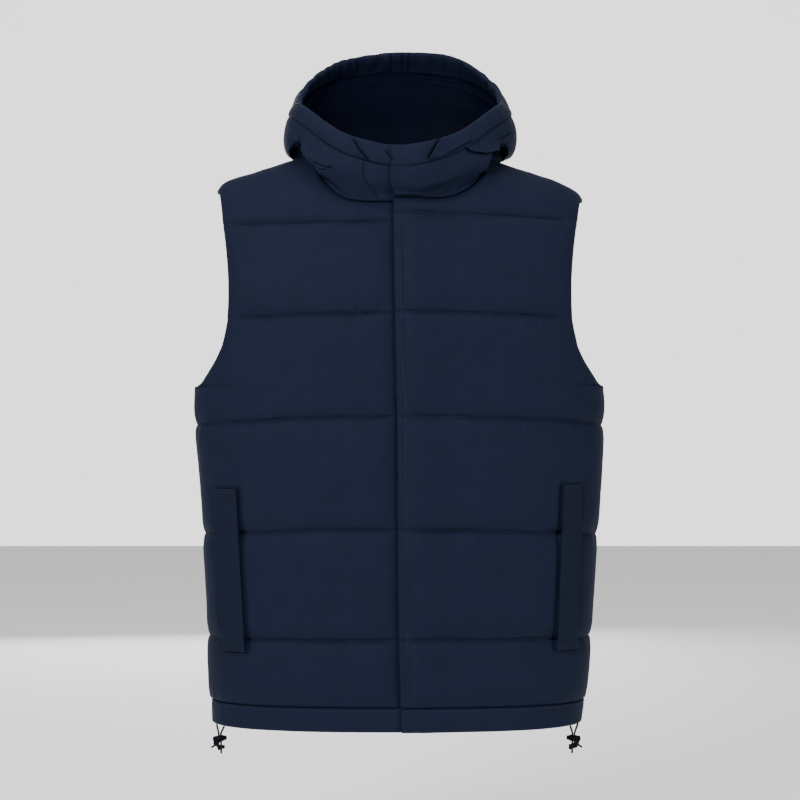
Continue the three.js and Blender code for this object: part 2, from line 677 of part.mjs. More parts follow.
// A welt is made from the front panel's own points, moved out.
function welt(side) {
  const w = WELTS[sideName(side)];
  const outer = [], inner = [];
  for (let i = 0; i <= WELT_ROWS; i++) {
    const down = i / WELT_ROWS;
    const z = mix(w.top, w.bottom, down);
    outer.push([]);
    inner.push([]);
    for (let j = 0; j <= WELT_COLUMNS; j++) {
      const x = mix(mix(w.inTop, w.inBottom, down), mix(w.outTop, w.outBottom, down), j / WELT_COLUMNS);
      const { point, normal } = bodyFrame(side, -1, shareOfX(side, x, z), z);
      const edge = i === 0 || i === WELT_ROWS || j === 0 ? 0.9 : 0;
      inner[i].push(point.clone().addScaledVector(normal, 0.5));
      outer[i].push(point.clone().addScaledVector(normal, 0.5 + WELT_WALL - edge));
    }
  }
  return { outer, inner };
}

// Elastic cord ends, their knots and the locks on them

// A point on the hem's lower edge, in the middle of its thickness, at a distance from the middle.
function hemEdgePoint(side, x) {
  let crest = Math.abs(x);
  let point;
  for (let i = 0; i < 8; i++) {
    const frame = bodyFrame(side, -1, shareOfX(side, crest, HEM_Z), HEM_Z);
    point = frame.point.addScaledVector(frame.normal, HEM_WALL / 2 - BODY_WALL);
    crest += Math.abs(x) - Math.abs(point.x);
  }
  return point;
}

function lockCentre(side) {
  const d = DRAWCORDS[sideName(side)];
  const y = (hemEdgePoint(side, d.outer).y + hemEdgePoint(side, d.inner).y) / 2;
  return vector(d.lockX, y, d.lockZ);
}

function strandPath(side, which) {
  const out = which === 'outer' ? side : -side;
  const start = hemEdgePoint(side, DRAWCORDS[sideName(side)][which]);
  start.z -= 1.3;
  const centre = lockCentre(side);
  const inLock = (dz) => centre.clone().add(vector(out * STRAND_SPACING / 2, 0, dz));
  const end = which === 'outer' ? vector(side * 9.6, -2.5, -10.5) : vector(-side * 1.6, 1, -18);
  return new THREE.CatmullRomCurve3([start, inLock(6.5), inLock(3), inLock(-3), inLock(-5),
    centre.clone().add(end)], false, 'centripetal');
}

function strand(side, which) {
  const circle = new THREE.Shape().absellipse(0, 0, CORD_RADIUS, CORD_RADIUS, 0, 2 * Math.PI, false);
  return mergeVertices(plain(new THREE.ExtrudeGeometry(circle,
    { steps: 7, curveSegments: 4, extrudePath: strandPath(side, which), bevelEnabled: false })));
}

function plain(geometry) {
  for (const name of ['uv', 'normal']) geometry.deleteAttribute(name);
  return geometry;
}

// A knot is a fat ring of cord round its own strand, close to the end.
function knot(side, which) {
  const path = strandPath(side, which);
  const geometry = plain(new THREE.TorusGeometry(2.9, 1.4, 6, 10));
  geometry.scale(1, 1, 1.6);
  const turned = new THREE.Quaternion().setFromUnitVectors(vector(0, 0, 1), path.getTangentAt(0.87));
  geometry.applyQuaternion(turned);
  geometry.translate(...path.getPointAt(0.87).toArray());
  return mergeVertices(geometry, 1e-4);
}

function toSolid(geometry) {
  const merged = mergeVertices(plain(geometry), 1e-4);
  return new Manifold(new SolidMesh({
    numProp: 3,
    vertProperties: Float32Array.from(merged.getAttribute('position').array),
    triVerts: Uint32Array.from(merged.getIndex().array),
  }));
}

function fromSolid(solid) {
  const { vertProperties, triVerts } = solid.getMesh();
  const geometry = new THREE.BufferGeometry();
  geometry.setAttribute('position', new THREE.Float32BufferAttribute(Array.from(vertProperties), 3));
  geometry.setIndex(Array.from(triVerts));
  geometry.computeVertexNormals();
  return geometry;
}

// The lock is a barrel with a slot through it for both strands.
function cordLock(side) {
  const d = DRAWCORDS[sideName(side)];
  const barrel = new THREE.CapsuleGeometry(LOCK_RADIUS, LOCK_LENGTH - 2 * LOCK_RADIUS, 3, 12);
  barrel.rotateZ(Math.PI / 2);
  const slot = new THREE.BoxGeometry(6.8, 3.5, 12);
  const geometry = fromSolid(toSolid(barrel).subtract(toSolid(slot)));
  geometry.rotateY(-side * Math.abs(d.tilt));
  geometry.translate(...lockCentre(side).toArray());
  return geometry;
}

const vest = new THREE.Group();
vest.name = 'quilted_vest';

function add(name, geometry, material) {
  const mesh = new THREE.Mesh(geometry, materials[material]);
  mesh.name = name;
  vest.add(mesh);
}

add('front_right', wallGeometry(frontRight), 'shell');
add('front_left', wallGeometry(frontLeft), 'shell');
add('back', wallGeometry(back), 'shell');
add('hem_right', wallGeometry(hemGrids(hemBand(-1, -1), { laps: true })), 'shell');
add('hem_left', wallGeometry(hemGrids(hemBand(1, -1), { lift: LAP_LIFT, laps: true })), 'shell');
const hemBackColumns = [...hemBand(-1, 1).slice(1).reverse(), ...hemBand(1, 1)];
add('hem_back', wallGeometry(hemGrids(hemBackColumns, {})), 'shell');
add('hood_side_right', wallGeometry(hoodPanel(0, RIGHT_SEAM)), 'shell');
add('hood_centre', wallGeometry(hoodPanel(RIGHT_SEAM, LEFT_SEAM)), 'shell');
add('hood_side_left', wallGeometry(hoodPanel(LEFT_SEAM, LAST_COLUMN)), 'shell');
add('hood_rim', hoodRim(), 'shell');
add('hood_lining', wallGeometry(hoodLining()), 'lining');
for (const side of [-1, 1]) {
  const name = sideName(side);
  add(`welt_${name}`, wallGeometry(welt(side)), 'trim');
  add(`cord_lock_${name}`, cordLock(side), 'lock');
  for (const which of ['outer', 'inner']) {
    add(`cord_${name}_${which}`, strand(side, which), 'cord');
    add(`knot_${name}_${which}`, knot(side, which), 'cord');
  }
}

export default vest;
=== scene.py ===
# A quilted, hooded vest in navy, standing filled out with nobody in it.
# Shapes are worked out in millimetres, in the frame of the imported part, and turned into
# metres when a mesh is made. +Z is up, the front faces -Y, and "right" is the wearer's.
import math

import bpy
import numpy as np
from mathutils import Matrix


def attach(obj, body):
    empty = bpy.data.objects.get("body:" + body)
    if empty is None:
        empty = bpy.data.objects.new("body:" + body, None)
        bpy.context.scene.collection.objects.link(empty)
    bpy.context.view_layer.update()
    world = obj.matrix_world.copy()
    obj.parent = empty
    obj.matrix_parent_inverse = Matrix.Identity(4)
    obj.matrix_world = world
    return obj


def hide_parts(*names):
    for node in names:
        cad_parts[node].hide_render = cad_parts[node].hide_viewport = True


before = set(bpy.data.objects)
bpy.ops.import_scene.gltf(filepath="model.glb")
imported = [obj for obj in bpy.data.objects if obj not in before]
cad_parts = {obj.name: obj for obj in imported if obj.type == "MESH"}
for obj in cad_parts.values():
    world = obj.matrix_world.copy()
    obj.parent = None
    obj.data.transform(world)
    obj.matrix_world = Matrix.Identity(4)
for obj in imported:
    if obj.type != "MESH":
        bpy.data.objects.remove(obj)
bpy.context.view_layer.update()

MM = 0.001

# Driving dimensions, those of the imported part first
SECTION_POWER = 2.6        # how square the body's level sections are
SHOULDER_POWER = 2.3       # how square the fold over the shoulder is
ARMPIT_Z = -280
BAND_SEAM_Z = -667         # where the hem band is sewn on, at the sides
HEM_Z = -695
NECK_HALF_WIDTH = 106
SHOULDER_TIP = 232
SEAM_GAP = 0.01            # pieces meet at a seam as closely as sewn cloth
SHOULDER_GAP = 0.08        # and a little wider over the shoulders, where they meet edge on
BODY_WALL = 9              # a padded body panel at its fullest
HOOD_WALL = 7              # a padded hood panel at its fullest
SEWN = 4                   # a padded piece where it is stitched flat
HEM_WALL = 5
RIM_WALL = 9
WELT_WALL = 2.4
LINING_WALL = 1.2
LINING_GAP = 1.1           # the lining's distance from the padded panels at the casing
LINING_GAP_LOW = 6.5       # and down at the neck
EDGE_STRIP = 9             # flat strip along the left front's edge
UNDERLAP = 18              # how far the right front runs on under the left front
LAP_LIFT = 5.4             # how far the left front is raised where it laps over
LAP_SINK = 2.4             # how far the hood's right edge is pressed in under the left one
CORD_RADIUS = 1.2

# The body's half width on the wearer's right and left, and its depths, by height.
BODY = {
    "z": [HEM_Z, -666, -596, -496, -436, -396, -336, ARMPIT_Z],
    "right": [238, 238.5, 240, 244, 247.5, 250.5, 256, 257],
    "left": [230, 233.5, 238, 245, 249, 251.5, 254.5, 254.5],
    "front": [113, 113, 113, 114, 114, 115, 115, 114],
    "back": [109, 107, 102, 100, 101, 103, 107, 111],
}

# The shoulder seam's height, by distance from the middle.
SHOULDER = {
    "x": [0, 60, NECK_HALF_WIDTH, 142, 163, 184, 204, 220, SHOULDER_TIP],
    "right": [20, 16, 10, 1.2, -5, -11.8, -17.8, -24.2, -32],
    "left": [18, 13, 7, -4.8, -11.5, -18.8, -26.3, -34.6, -43],
}

# The armhole's edge, by height, from the underarm up.
ARMHOLE = {
    "z": [ARMPIT_Z, -276, -267, -257, -248, -238, -228, -199, -160, -121, -80, -36],
    "x": [256, 250, 243, 235.5, 229.5, 224, 219.5, 213.5, 212, 214.5, 220.5, SHOULDER_TIP],
}

# The left front's edge, where it lies over the right front.
CLOSURE = {
    "z": [HEM_Z, -585, -452, -315, -180, -53, 20],
    "x": [1.8, -1.2, -2.4, -3.6, -6, -7.9, -8],
}

# Heights of the sewn lines, from the hem band's seam up to the yoke line.
LINES = {
    "right": [-666, -585, -451.5, -316.5, -191.5, -78.5],
    "left": [-666, -584, -452, -315.5, -190, -67.5],
    "side": [-667, -588.5, -463, -329, -203, -82],
    "back": [-667, -588, -461, -327, -201, -84],
}

# Heights of the neck seam, by distance from the middle.
NECKLINE = {
    "x": [0, 45, 67, 82, 94, 101, NECK_HALF_WIDTH],
    "right": [-53.3, -53, -49, -39, -25, -12, 9.5],
    "left": [-50, -49, -44.5, -37, -27, -15, 5],
    "back": [-12, -10, -7.5, -4, 0, 4, 9.5],
}

# Level loops of the hood's outside, from low to high. The casing's seam and the rim are last.
HOOD_LOOPS = {
    "width": [138, 146, 142, 128],
    "front": [-88, -93, -96, -96],
    "back": [104, 124, 124, 104],
    "front_z": [-36, -25, -14, 11.5],
    "side_z": [8, 24, 60, 79],
    "back_z": [-14, 46, 134, 158],
    "cheek_z": [12, 30, 60, 48],
}
HOOD_POWER = 2.5
NECK_CENTRE_Y = -10
NECK_GAP = 0.5
NECK_STAND = 7
SEAM_UP = 0.8              # share of the hood's height where the casing is sewn on

# Where the neck's points lie on the front and back panels, as counted round the neck.
FRONT_NECK = {
    "count": [0, 1, 2, 3, 4, 5, 6, 7, 8, 9],
    "right": [-10, 7, 18, 38, 60, 80, 94, 101, 104.8, 106],
    "left": [-8, 1, 14, 36, 60, 80, 94, 101, 104.8, 106],
}
BACK_NECK = {"count": [0, 1, 2, 3, 4, 5], "x": [0, 34, 62, 84, 99, 106]}
LAST_COUNT = 28            # from the right front's edge, 0, round the back to the left one's
MIDDLE_COUNT = 14

# The pocket welts' heights, and how far from the middle their inner and outer edges lie.
WELTS = {
    "right": {
        "top": -404, "bottom": -601,
        "in_top": 198, "in_bottom": 187,
        "out_top": 227, "out_bottom": 214,
    },
    "left": {
        "top": -399, "bottom": -599,
        "in_top": 198, "in_bottom": 190,
        "out_top": 220, "out_bottom": 215,
    },
}

# Where the drawcord's strands leave the hem, and where the locks hang and how they tilt.
DRAWCORDS = {
    "right": {"outer": -225.8, "inner": -215.5, "lock_x": -221.2, "lock_z": -711.8, "tilt": 0.14},
    "left": {"outer": 219.4, "inner": 208.6, "lock_x": 213.2, "lock_z": -711.6, "tilt": 0.09},
}
STRAND_SPACING = 2.9

# The photograph's view
EYE_DISTANCE = 2600
EYE_Z = -296.25
VIEW_WIDTH = 1000          # what the picture spans at the vest's middle

SIDES = {-1: "right", 1: "left"}


# Small helpers

def mix(a, b, t):
    return a + (b - a) * t


def smooth(t):
    t = np.clip(t, 0, 1)
    return t * t * (3 - 2 * t)


def unit(v):
    return v / np.maximum(np.linalg.norm(v, axis=-1, keepdims=True), 1e-9)


def stack(x, y, z):
    return np.stack(np.broadcast_arrays(x, y, z), axis=-1).astype(float)


# Values read from a table, on a smooth curve through its rows.
def read_table(table, key, at, column):
    keys = np.array(table[key], float)
    values = np.array(table[column], float)
    at = np.asarray(at, float)
    i = np.clip(np.searchsorted(keys, at) - 1, 0, len(keys) - 2)
    before = np.maximum(i - 1, 0)
    after = np.minimum(i + 2, len(keys) - 1)
    span = keys[i + 1] - keys[i]
    t = np.clip((at - keys[i]) / span, 0, 1)
    slope_a = (values[i + 1] - values[before]) / (keys[i + 1] - keys[before]) * span
    slope_b = (values[after] - values[i]) / (keys[after] - keys[i]) * span
    t2, t3 = t * t, t * t * t
    return ((2 * t3 - 3 * t2 + 1) * values[i] + (t3 - 2 * t2 + t) * slope_a
            + (3 * t2 - 2 * t3) * values[i + 1] + (t3 - t2) * slope_b)


# Soft random waves along a line or over a surface, the same in every run.
def soft_noise(seed, x, size, y=None):
    values = np.random.RandomState(seed).uniform(-1, 1, (64, 64 if y is not None else 1))
    u = np.asarray(x, float) / size
    i = np.floor(u).astype(int)
    a = smooth(u - i)
    if y is None:
        return mix(values[i % 64, 0], values[(i + 1) % 64, 0], a)
    v = np.asarray(y, float) / size
    j = np.floor(v).astype(int)
    b = smooth(v - j)
    low = mix(values[i % 64, j % 64], values[(i + 1) % 64, j % 64], a)
    high = mix(values[i % 64, (j + 1) % 64], values[(i + 1) % 64, (j + 1) % 64], a)
    return mix(low, high, b)


# Camera, lights and floor

def place_camera():
    data = bpy.data.cameras.new("view")
    data.sensor_width = 36
    data.lens = 36 * EYE_DISTANCE / VIEW_WIDTH
    camera = bpy.data.objects.new("view", data)
    camera.location = (0, -EYE_DISTANCE * MM, EYE_Z * MM)
    camera.rotation_euler = (math.pi / 2, 0, 0)
    bpy.context.scene.collection.objects.link(camera)
    bpy.context.scene.camera = camera


def place_lights():
    world = bpy.data.worlds.new("studio")
    world.use_nodes = True
    sky = world.node_tree.nodes["Background"]
    sky.inputs["Color"].default_value = (1, 1, 1, 1)
    facing = add_node(world, "ShaderNodeTexCoord").outputs["Generated"]
    parts = add_node(world, "ShaderNodeSeparateXYZ", Vector=facing)
    strength = add_node(world, "ShaderNodeMapRange", Value=parts.outputs["Y"])
    for name, value in (("From Min", 0.7), ("From Max", 0.97), ("To Min", 0.62), ("To Max", 2.0)):
        strength.inputs[name].default_value = value
    world.node_tree.links.new(strength.outputs["Result"], sky.inputs["Strength"])
    bpy.context.scene.world = world
    lights = [
        ("key", (-1.5, -2.4, 1.1), 1.4, 105),
        ("fill", (2.0, -2.2, 0.2), 1.6, 40),
        ("top", (0.0, -0.3, 1.9), 1.2, 26),
        ("back", (-0.4, 2.6, 0.2), 1.8, 36),
    ]
    for name, place, size, power in lights:
        data = bpy.data.lights.new(name, "AREA")
        data.size = size
        data.energy = power
        lamp = bpy.data.objects.new(name, data)
        lamp.location = place
        aim = np.array([0, 0, -0.3]) - np.array(place)
        lamp.rotation_euler = (
            math.atan2(math.hypot(aim[0], aim[1]), -aim[2]), 0, math.atan2(-aim[0], aim[1]))
        bpy.context.scene.collection.objects.link(lamp)


# Materials

def colour(code):
    channels = [int(code[i:i + 2], 16) / 255 for i in (1, 3, 5)]
    linear = [c / 12.92 if c <= 0.04045 else ((c + 0.055) / 1.055) ** 2.4 for c in channels]
    return (*linear, 1)


# Adds a node to a material's tree with its settings and what feeds its sockets.
def add_node(material, kind, settings=None, **inputs):
    node = material.node_tree.nodes.new(kind)
    for name, value in (settings or {}).items():
        setattr(node, name, value)
    for name, value in inputs.items():
        key = name.replace("_", " ")
        socket = node.inputs[int(key[3:])] if key.startswith("in ") else node.inputs[key]
        if isinstance(value, bpy.types.NodeSocket):
            material.node_tree.links.new(value, socket)
        else:
            socket.default_value = value
    return node


def new_material(name):
    material = bpy.data.materials.new(name)
    material.use_nodes = True
    shader = material.node_tree.nodes["Principled BSDF"]
    shader.inputs["IOR"].default_value = 1.5
    return material, shader


# Cloth of plain-woven polyester: fine crossing threads, soft mottling, a little sheen at
# grazing angles. The threads are drawn 0.9 mm apart, coarser than the real 0.25 mm, so
# that they can show at all.
def woven_cloth(name, base, light, roughness, sheen, thread=0.9, relief=0.06, crush=0.35, gloss=0.08):
    material, shader = new_material(name)
    tree = material.node_tree
    place = add_node(material, "ShaderNodeUVMap", {"uv_map": "cloth"}).outputs["UV"]
    spot = add_node(material, "ShaderNodeTexCoord").outputs["Object"]
    wave = {"wave_type": "BANDS", "bands_direction": "X", "wave_profile": "SIN"}
    scale = 1000 / thread * math.tau / 20
    warp = add_node(material, "ShaderNodeTexWave", wave, Vector=place, Scale=scale)
    wave["bands_direction"] = "Y"
    weft = add_node(material, "ShaderNodeTexWave", wave, Vector=place, Scale=scale)
    threads = add_node(material, "ShaderNodeMath", {"operation": "MULTIPLY"},
                       in_0=warp.outputs["Fac"], in_1=weft.outputs["Fac"])
    mottle = add_node(material, "ShaderNodeTexNoise", Vector=spot, Scale=38.0, Detail=3.0)
    crumple = add_node(material, "ShaderNodeTexNoise", Vector=spot, Scale=120.0, Detail=4.0, Roughness=0.6)
    shade = add_node(material, "ShaderNodeMix", {"data_type": "RGBA"}, in_0=mottle.outputs["Fac"])
    shade.inputs[6].default_value = colour(base)
    shade.inputs[7].default_value = colour(light)
    tree.links.new(shade.outputs[2], shader.inputs["Base Color"])
    rough = add_node(material, "ShaderNodeMapRange", Value=crumple.outputs["Fac"])
    rough.inputs["To Min"].default_value = roughness - 0.06
    rough.inputs["To Max"].default_value = roughness + 0.06
    tree.links.new(rough.outputs["Result"], shader.inputs["Roughness"])
    coarse = add_node(material, "ShaderNodeBump", Height=crumple.outputs["Fac"], Strength=crush,
                      Distance=0.0006)
    fine = add_node(material, "ShaderNodeBump", Height=threads.outputs["Value"], Strength=relief * 4,
                    Distance=0.00012, Normal=coarse.outputs["Normal"])
    tree.links.new(fine.outputs["Normal"], shader.inputs["Normal"])
    shader.inputs["Sheen Weight"].default_value = sheen
    shader.inputs["Sheen Roughness"].default_value = 0.45
    shader.inputs["Sheen Tint"].default_value = colour("#8fa2c4")
    shader.inputs["Specular IOR Level"].default_value = gloss
    return material


# Elastic cord in a braided sleeve: slanted ridges both ways round it.
def braided_cord(name, base, light):
    material, shader = new_material(name)
    tree = material.node_tree
    place = add_node(material, "ShaderNodeUVMap", {"uv_map": "cloth"}).outputs["UV"]
    wave = {"wave_type": "BANDS", "bands_direction": "DIAGONAL", "wave_profile": "SIN"}
    turned = add_node(material, "ShaderNodeMapping", Vector=place, Scale=(1, -1, 1))
    scale = 1000 / 1.1 * math.tau / 20
    one = add_node(material, "ShaderNodeTexWave", wave, Vector=place, Scale=scale)
    other = add_node(material, "ShaderNodeTexWave", wave, Vector=turned.outputs["Vector"], Scale=scale)
    braid = add_node(material, "ShaderNodeMath", {"operation": "MAXIMUM"},
                     in_0=one.outputs["Fac"], in_1=other.outputs["Fac"])
    shade = add_node(material, "ShaderNodeMix", {"data_type": "RGBA"}, in_0=braid.outputs["Value"])
    shade.inputs[6].default_value = colour(base)
    shade.inputs[7].default_value = colour(light)
    tree.links.new(shade.outputs[2], shader.inputs["Base Color"])
    bump = add_node(material, "ShaderNodeBump", Height=braid.outputs["Value"], Strength=0.5,
                    Distance=0.0003)
    tree.links.new(bump.outputs["Normal"], shader.inputs["Normal"])
    shader.inputs["Roughness"].default_value = 0.75
    shader.inputs["Specular IOR Level"].default_value = 0.1
    return material


# Polyacetal, injection moulded with a fine spark-eroded grain, which leaves it satin.
def moulded_plastic(name, base):
    material, shader = new_material(name)
    tree = material.node_tree
    spot = add_node(material, "ShaderNodeTexCoord").outputs["Object"]
    grain = add_node(material, "ShaderNodeTexNoise", Vector=spot, Scale=2600.0, Detail=2.0)
    rough = add_node(material, "ShaderNodeMapRange", Value=grain.outputs["Fac"])
    rough.inputs["To Min"].default_value = 0.42
    rough.inputs["To Max"].default_value = 0.55
    tree.links.new(rough.outputs["Result"], shader.inputs["Roughness"])
    bump = add_node(material, "ShaderNodeBump", Height=grain.outputs["Fac"], Strength=0.25,
                    Distance=0.0001)
    tree.links.new(bump.outputs["Normal"], shader.inputs["Normal"])
    shader.inputs["Base Color"].default_value = colour(base)
    shader.inputs["Specular IOR Level"].default_value = 0.06
    return material


# Spun polyester sewing thread: two plies twisted together, slightly glossy.
def sewing_thread(name, base):
    material, shader = new_material(name)
    tree = material.node_tree
    spot = add_node(material, "ShaderNodeTexCoord").outputs["Object"]
    twist = add_node(material, "ShaderNodeTexNoise", Vector=spot, Scale=1800.0, Detail=1.0)
    bump = add_node(material, "ShaderNodeBump", Height=twist.outputs["Fac"], Strength=0.4,
                    Distance=0.0001)
    tree.links.new(bump.outputs["Normal"], shader.inputs["Normal"])
    shader.inputs["Base Color"].default_value = colour(base)
    shader.inputs["Roughness"].default_value = 0.55
    return material


# Matt paper with a faint tooth, for the studio floor.
def paper_floor(name):
    material, shader = new_material(name)
    tree = material.node_tree
    spot = add_node(material, "ShaderNodeTexCoord").outputs["Object"]
    tooth = add_node(material, "ShaderNodeTexNoise", Vector=spot, Scale=60.0, Detail=2.0)
    bump = add_node(material, "ShaderNodeBump", Height=tooth.outputs["Fac"], Strength=0.05,
                    Distance=0.001)
    tree.links.new(bump.outputs["Normal"], shader.inputs["Normal"])
    shader.inputs["Base Color"].default_value = colour("#fbfbfb")
    shader.inputs["Roughness"].default_value = 0.9
    return material


SHELL = woven_cloth("navy_polyester_shell", "#0b1121", "#0e1528", 0.74, 0.02)
TRIM = woven_cloth("navy_polyester_trim", "#0a0f1e", "#0c1324", 0.76, 0.02, thread=0.8)
LINING = woven_cloth("dark_navy_taffeta_lining", "#030612", "#050919", 0.6, 0.0,
                     thread=0.7, crush=0.5, gloss=0.02)
CORD = braided_cord("braided_elastic_cord", "#04060e", "#080c18")
LOCK = moulded_plastic("moulded_polyacetal", "#020308")
THREAD = sewing_thread("polyester_sewing_thread", "#060a14")
FLOOR = paper_floor("pale_paper")


# The body's surface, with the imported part's own measures

def section_table():
    angle = np.linspace(0, math.pi / 2, 401)
    x = np.sin(angle) ** (2 / SECTION_POWER)
    y = np.cos(angle) ** (2 / SECTION_POWER)
    y[-1] = 0
    steps = np.hypot(np.diff(x) * 250, np.diff(y) * 112)
    length = np.concatenate([[0], np.cumsum(steps)])
    return x, y, length / length[-1], length[-1]


SECTION_X, SECTION_Y, SECTION_SHARE, SECTION_LENGTH = section_table()


def share_of_x(side, x, z):
    width = read_table(BODY, "z", np.minimum(z, ARMPIT_Z), SIDES[side])
    return np.sign(x) * np.interp(np.minimum(1, np.abs(x) / width), SECTION_X, SECTION_SHARE)


def x_of_share(side, share, z):
    width = read_table(BODY, "z", np.minimum(z, ARMPIT_Z), SIDES[side])
    return np.sign(share) * np.interp(np.abs(share), SECTION_SHARE, SECTION_X) * width


def shoulder_z(side, x):
    return read_table(SHOULDER, "x", np.abs(x), SIDES[side])


# A point of the body's outside. faces is -1 in front and 1 behind. Above the armpit, turn
# says how far the cloth is from the shoulder seam, from a quarter turn down to 0.
def body_point(side, faces, share, z, turn):
    low = np.minimum(z, ARMPIT_Z)
    depth = read_table(BODY, "z", low, "front" if faces < 0 else "back")
    x = x_of_share(side, share, z)
    y = faces * depth * np.interp(np.abs(share), SECTION_SHARE, SECTION_Y)
    top = shoulder_z(side, x)
    fallen = 1 - np.maximum(0, np.cos(turn)) ** (2 / SHOULDER_POWER)
    fold = np.abs(np.sin(turn)) ** (2 / SHOULDER_POWER)
    high = np.asarray(z) >= ARMPIT_Z
    return stack(side * x, np.where(high, y * fold, y), np.where(high, top - (top - ARMPIT_Z) * fallen, z))


def turn_of(side, x, z):
    top = shoulder_z(side, x)
    up = np.clip(1 - (top - z) / (top - ARMPIT_Z), 0, 1)
    return np.arccos(up ** (SHOULDER_POWER / 2))


def line_z(i, side, faces, share):
    centre = np.array(LINES[SIDES[side] if faces < 0 else "back"])[i]
    return mix(centre, np.array(LINES["side"])[i], np.minimum(1, np.abs(share)) ** 1.7)


def inner_edge(side, faces, z):
    if faces > 0:
        return np.zeros_like(np.asarray(z, float))
    x = read_table(CLOSURE, "z", z, "x")
    return x if side > 0 else -(x + UNDERLAP)


def share_at(side, faces, across, z):
    gap = SEAM_GAP / 2 / SECTION_LENGTH
    at_hole = share_of_x(side, read_table(ARMHOLE, "z", z, "x"), z)
    outer = np.where(z <= ARMPIT_Z, 1 - gap, np.minimum(1 - gap, at_hole))
    return mix(share_of_x(side, inner_edge(side, faces, z), z), outer, across)


# The panel's surface. top_x says where a column meets the top edge, and v counts the sewn
# lines upward: 0 is the hem band's seam, 5 the yoke line and 6 the neck or shoulder seam.
def panel_surface(side, faces, top_x, v):
    top_x, v = np.broadcast_arrays(np.asarray(top_x, float), np.asarray(v, float))
    edge = inner_edge(side, faces, 20)
    across = (top_x - edge) / (SHOULDER_TIP - edge)
    i = np.clip(np.floor(v).astype(int), 0, 4)
    up = np.clip(v, 0, 5) - i
    share = across
    for _ in range(4):
        z = mix(line_z(i, side, faces, share), line_z(i + 1, side, faces, share), up)
        z = z + np.where(v < 0.02, SEAM_GAP * (1 - v / 0.02), 0)
        share = share_at(side, faces, across, z)
    x = x_of_share(side, share, z)
    turn = np.where(z > ARMPIT_Z, turn_of(side, x, z), math.pi / 2)
    low = body_point(side, faces, share, z, turn)
    column = SIDES[side] if faces < 0 else "back"
    neck_z = read_table(NECKLINE, "x", np.abs(top_x), column)
    neck_turn = turn_of(side, top_x, np.minimum(neck_z, shoulder_z(side, top_x)))
    end_turn = np.where(top_x < NECK_HALF_WIDTH, neck_turn, 0)
    depth = read_table(BODY, "z", ARMPIT_Z, "front" if faces < 0 else "back")
    seam_y = depth * np.interp(np.abs(share_of_x(side, top_x, ARMPIT_Z)), SECTION_SHARE, SECTION_Y)
    gap_turn = np.arcsin((SHOULDER_GAP / 2 / np.maximum(seam_y, 1)) ** (SHOULDER_POWER / 2))
    rise = np.clip(v - 5, 0, 1)
    yoke_x = mix(x, top_x, rise)
    yoke_turn = mix(turn, np.maximum(end_turn, gap_turn), rise)
    high = body_point(side, faces, share_of_x(side, yoke_x, ARMPIT_Z), ARMPIT_Z, yoke_turn)
    return np.where((v > 5)[..., None], high, low)


# Outward directions of a panel's surface. flip is -1 where rows and columns run the other way.
def panel_normals(side, faces, top_x, v, flip):
    top_x, v = np.broadcast_arrays(np.asarray(top_x, float), np.asarray(v, float))
    edge = inner_edge(side, faces, 20)
    left, right = np.maximum(top_x - 0.4, edge), np.minimum(top_x + 0.4, SHOULDER_TIP)
    low, high = np.maximum(v - 0.004, 0.021 * (v > 0.021)), np.minimum(v + 0.004, 6)
    across = panel_surface(side, faces, right, v) - panel_surface(side, faces, left, v)
    up = panel_surface(side, faces, top_x, high) - panel_surface(side, faces, top_x, low)
    normals = unit(np.cross(across, up)) * flip
    points = panel_surface(side, faces, top_x, v)
    beside = (np.abs(points[..., 2] - ARMPIT_Z - 2) < 9) & (np.abs(points[..., 0]) > 120)
    normals[beside] = section_normals(side, faces, points[beside]) * flip
    return normals


# The same from level sections, for the rows that turn off sharply under the arm.
def section_normals(side, faces, points):
    z = points[..., 2]
    share = np.clip(share_of_x(side, np.abs(points[..., 0]), z), 0, 1)

    def at(shares, height):
        x = x_of_share(side, shares, height)
        turn = np.where(height > ARMPIT_Z, turn_of(side, x, height), math.pi / 2)
        return body_point(side, faces, shares, height, turn)

    across = at(np.minimum(share + 0.006, 1), z) - at(share - 0.006, z)
    return unit(np.cross(across, at(share, z + 0.6) - at(share, z - 0.6)))


# A strip of the body below the panels: down is 0 at the band's seam and 1 at the hem.
def hem_surface(side, faces, top_x, down):
    top_x, down = np.broadcast_arrays(np.asarray(top_x, float), np.asarray(down, float))
    edge = inner_edge(side, faces, 20)
    across = (top_x - edge) / (SHOULDER_TIP - edge)
    z = mix(float(BAND_SEAM_Z), HEM_Z, down)
    share = share_at(side, faces, across, z)
    z = mix(line_z(0, side, faces, share), HEM_Z, down)
    return body_point(side, faces, share, z, math.pi / 2)


# Outward directions of a grid of points. flip is -1 where rows and columns run the other way.
def grid_normals(points, flip):
    up = np.gradient(points, axis=0)
    across = np.gradient(points, axis=1)
    return unit(np.cross(across, up)) * flip


def run_lengths(points, axis):
    steps = np.linalg.norm(np.diff(points, axis=axis), axis=-1)
    total = np.cumsum(steps, axis=axis)
    return np.insert(total, 0, 0, axis=axis)


# Places along a length: close together near both ends, then even.
def graded(length, spacing, ends=(0.5, 1.3, 2.6, 4.6)):
    ends = [e for e in ends if e < length / 2.2]
    middle = max(2, round((length - 2 * ends[-1]) / spacing) + 1)
    inside = np.linspace(ends[-1], length - ends[-1], middle)
    return np.concatenate([[0], ends[:-1], inside, [length - e for e in ends[:-1][::-1]], [length]])


# Meshes

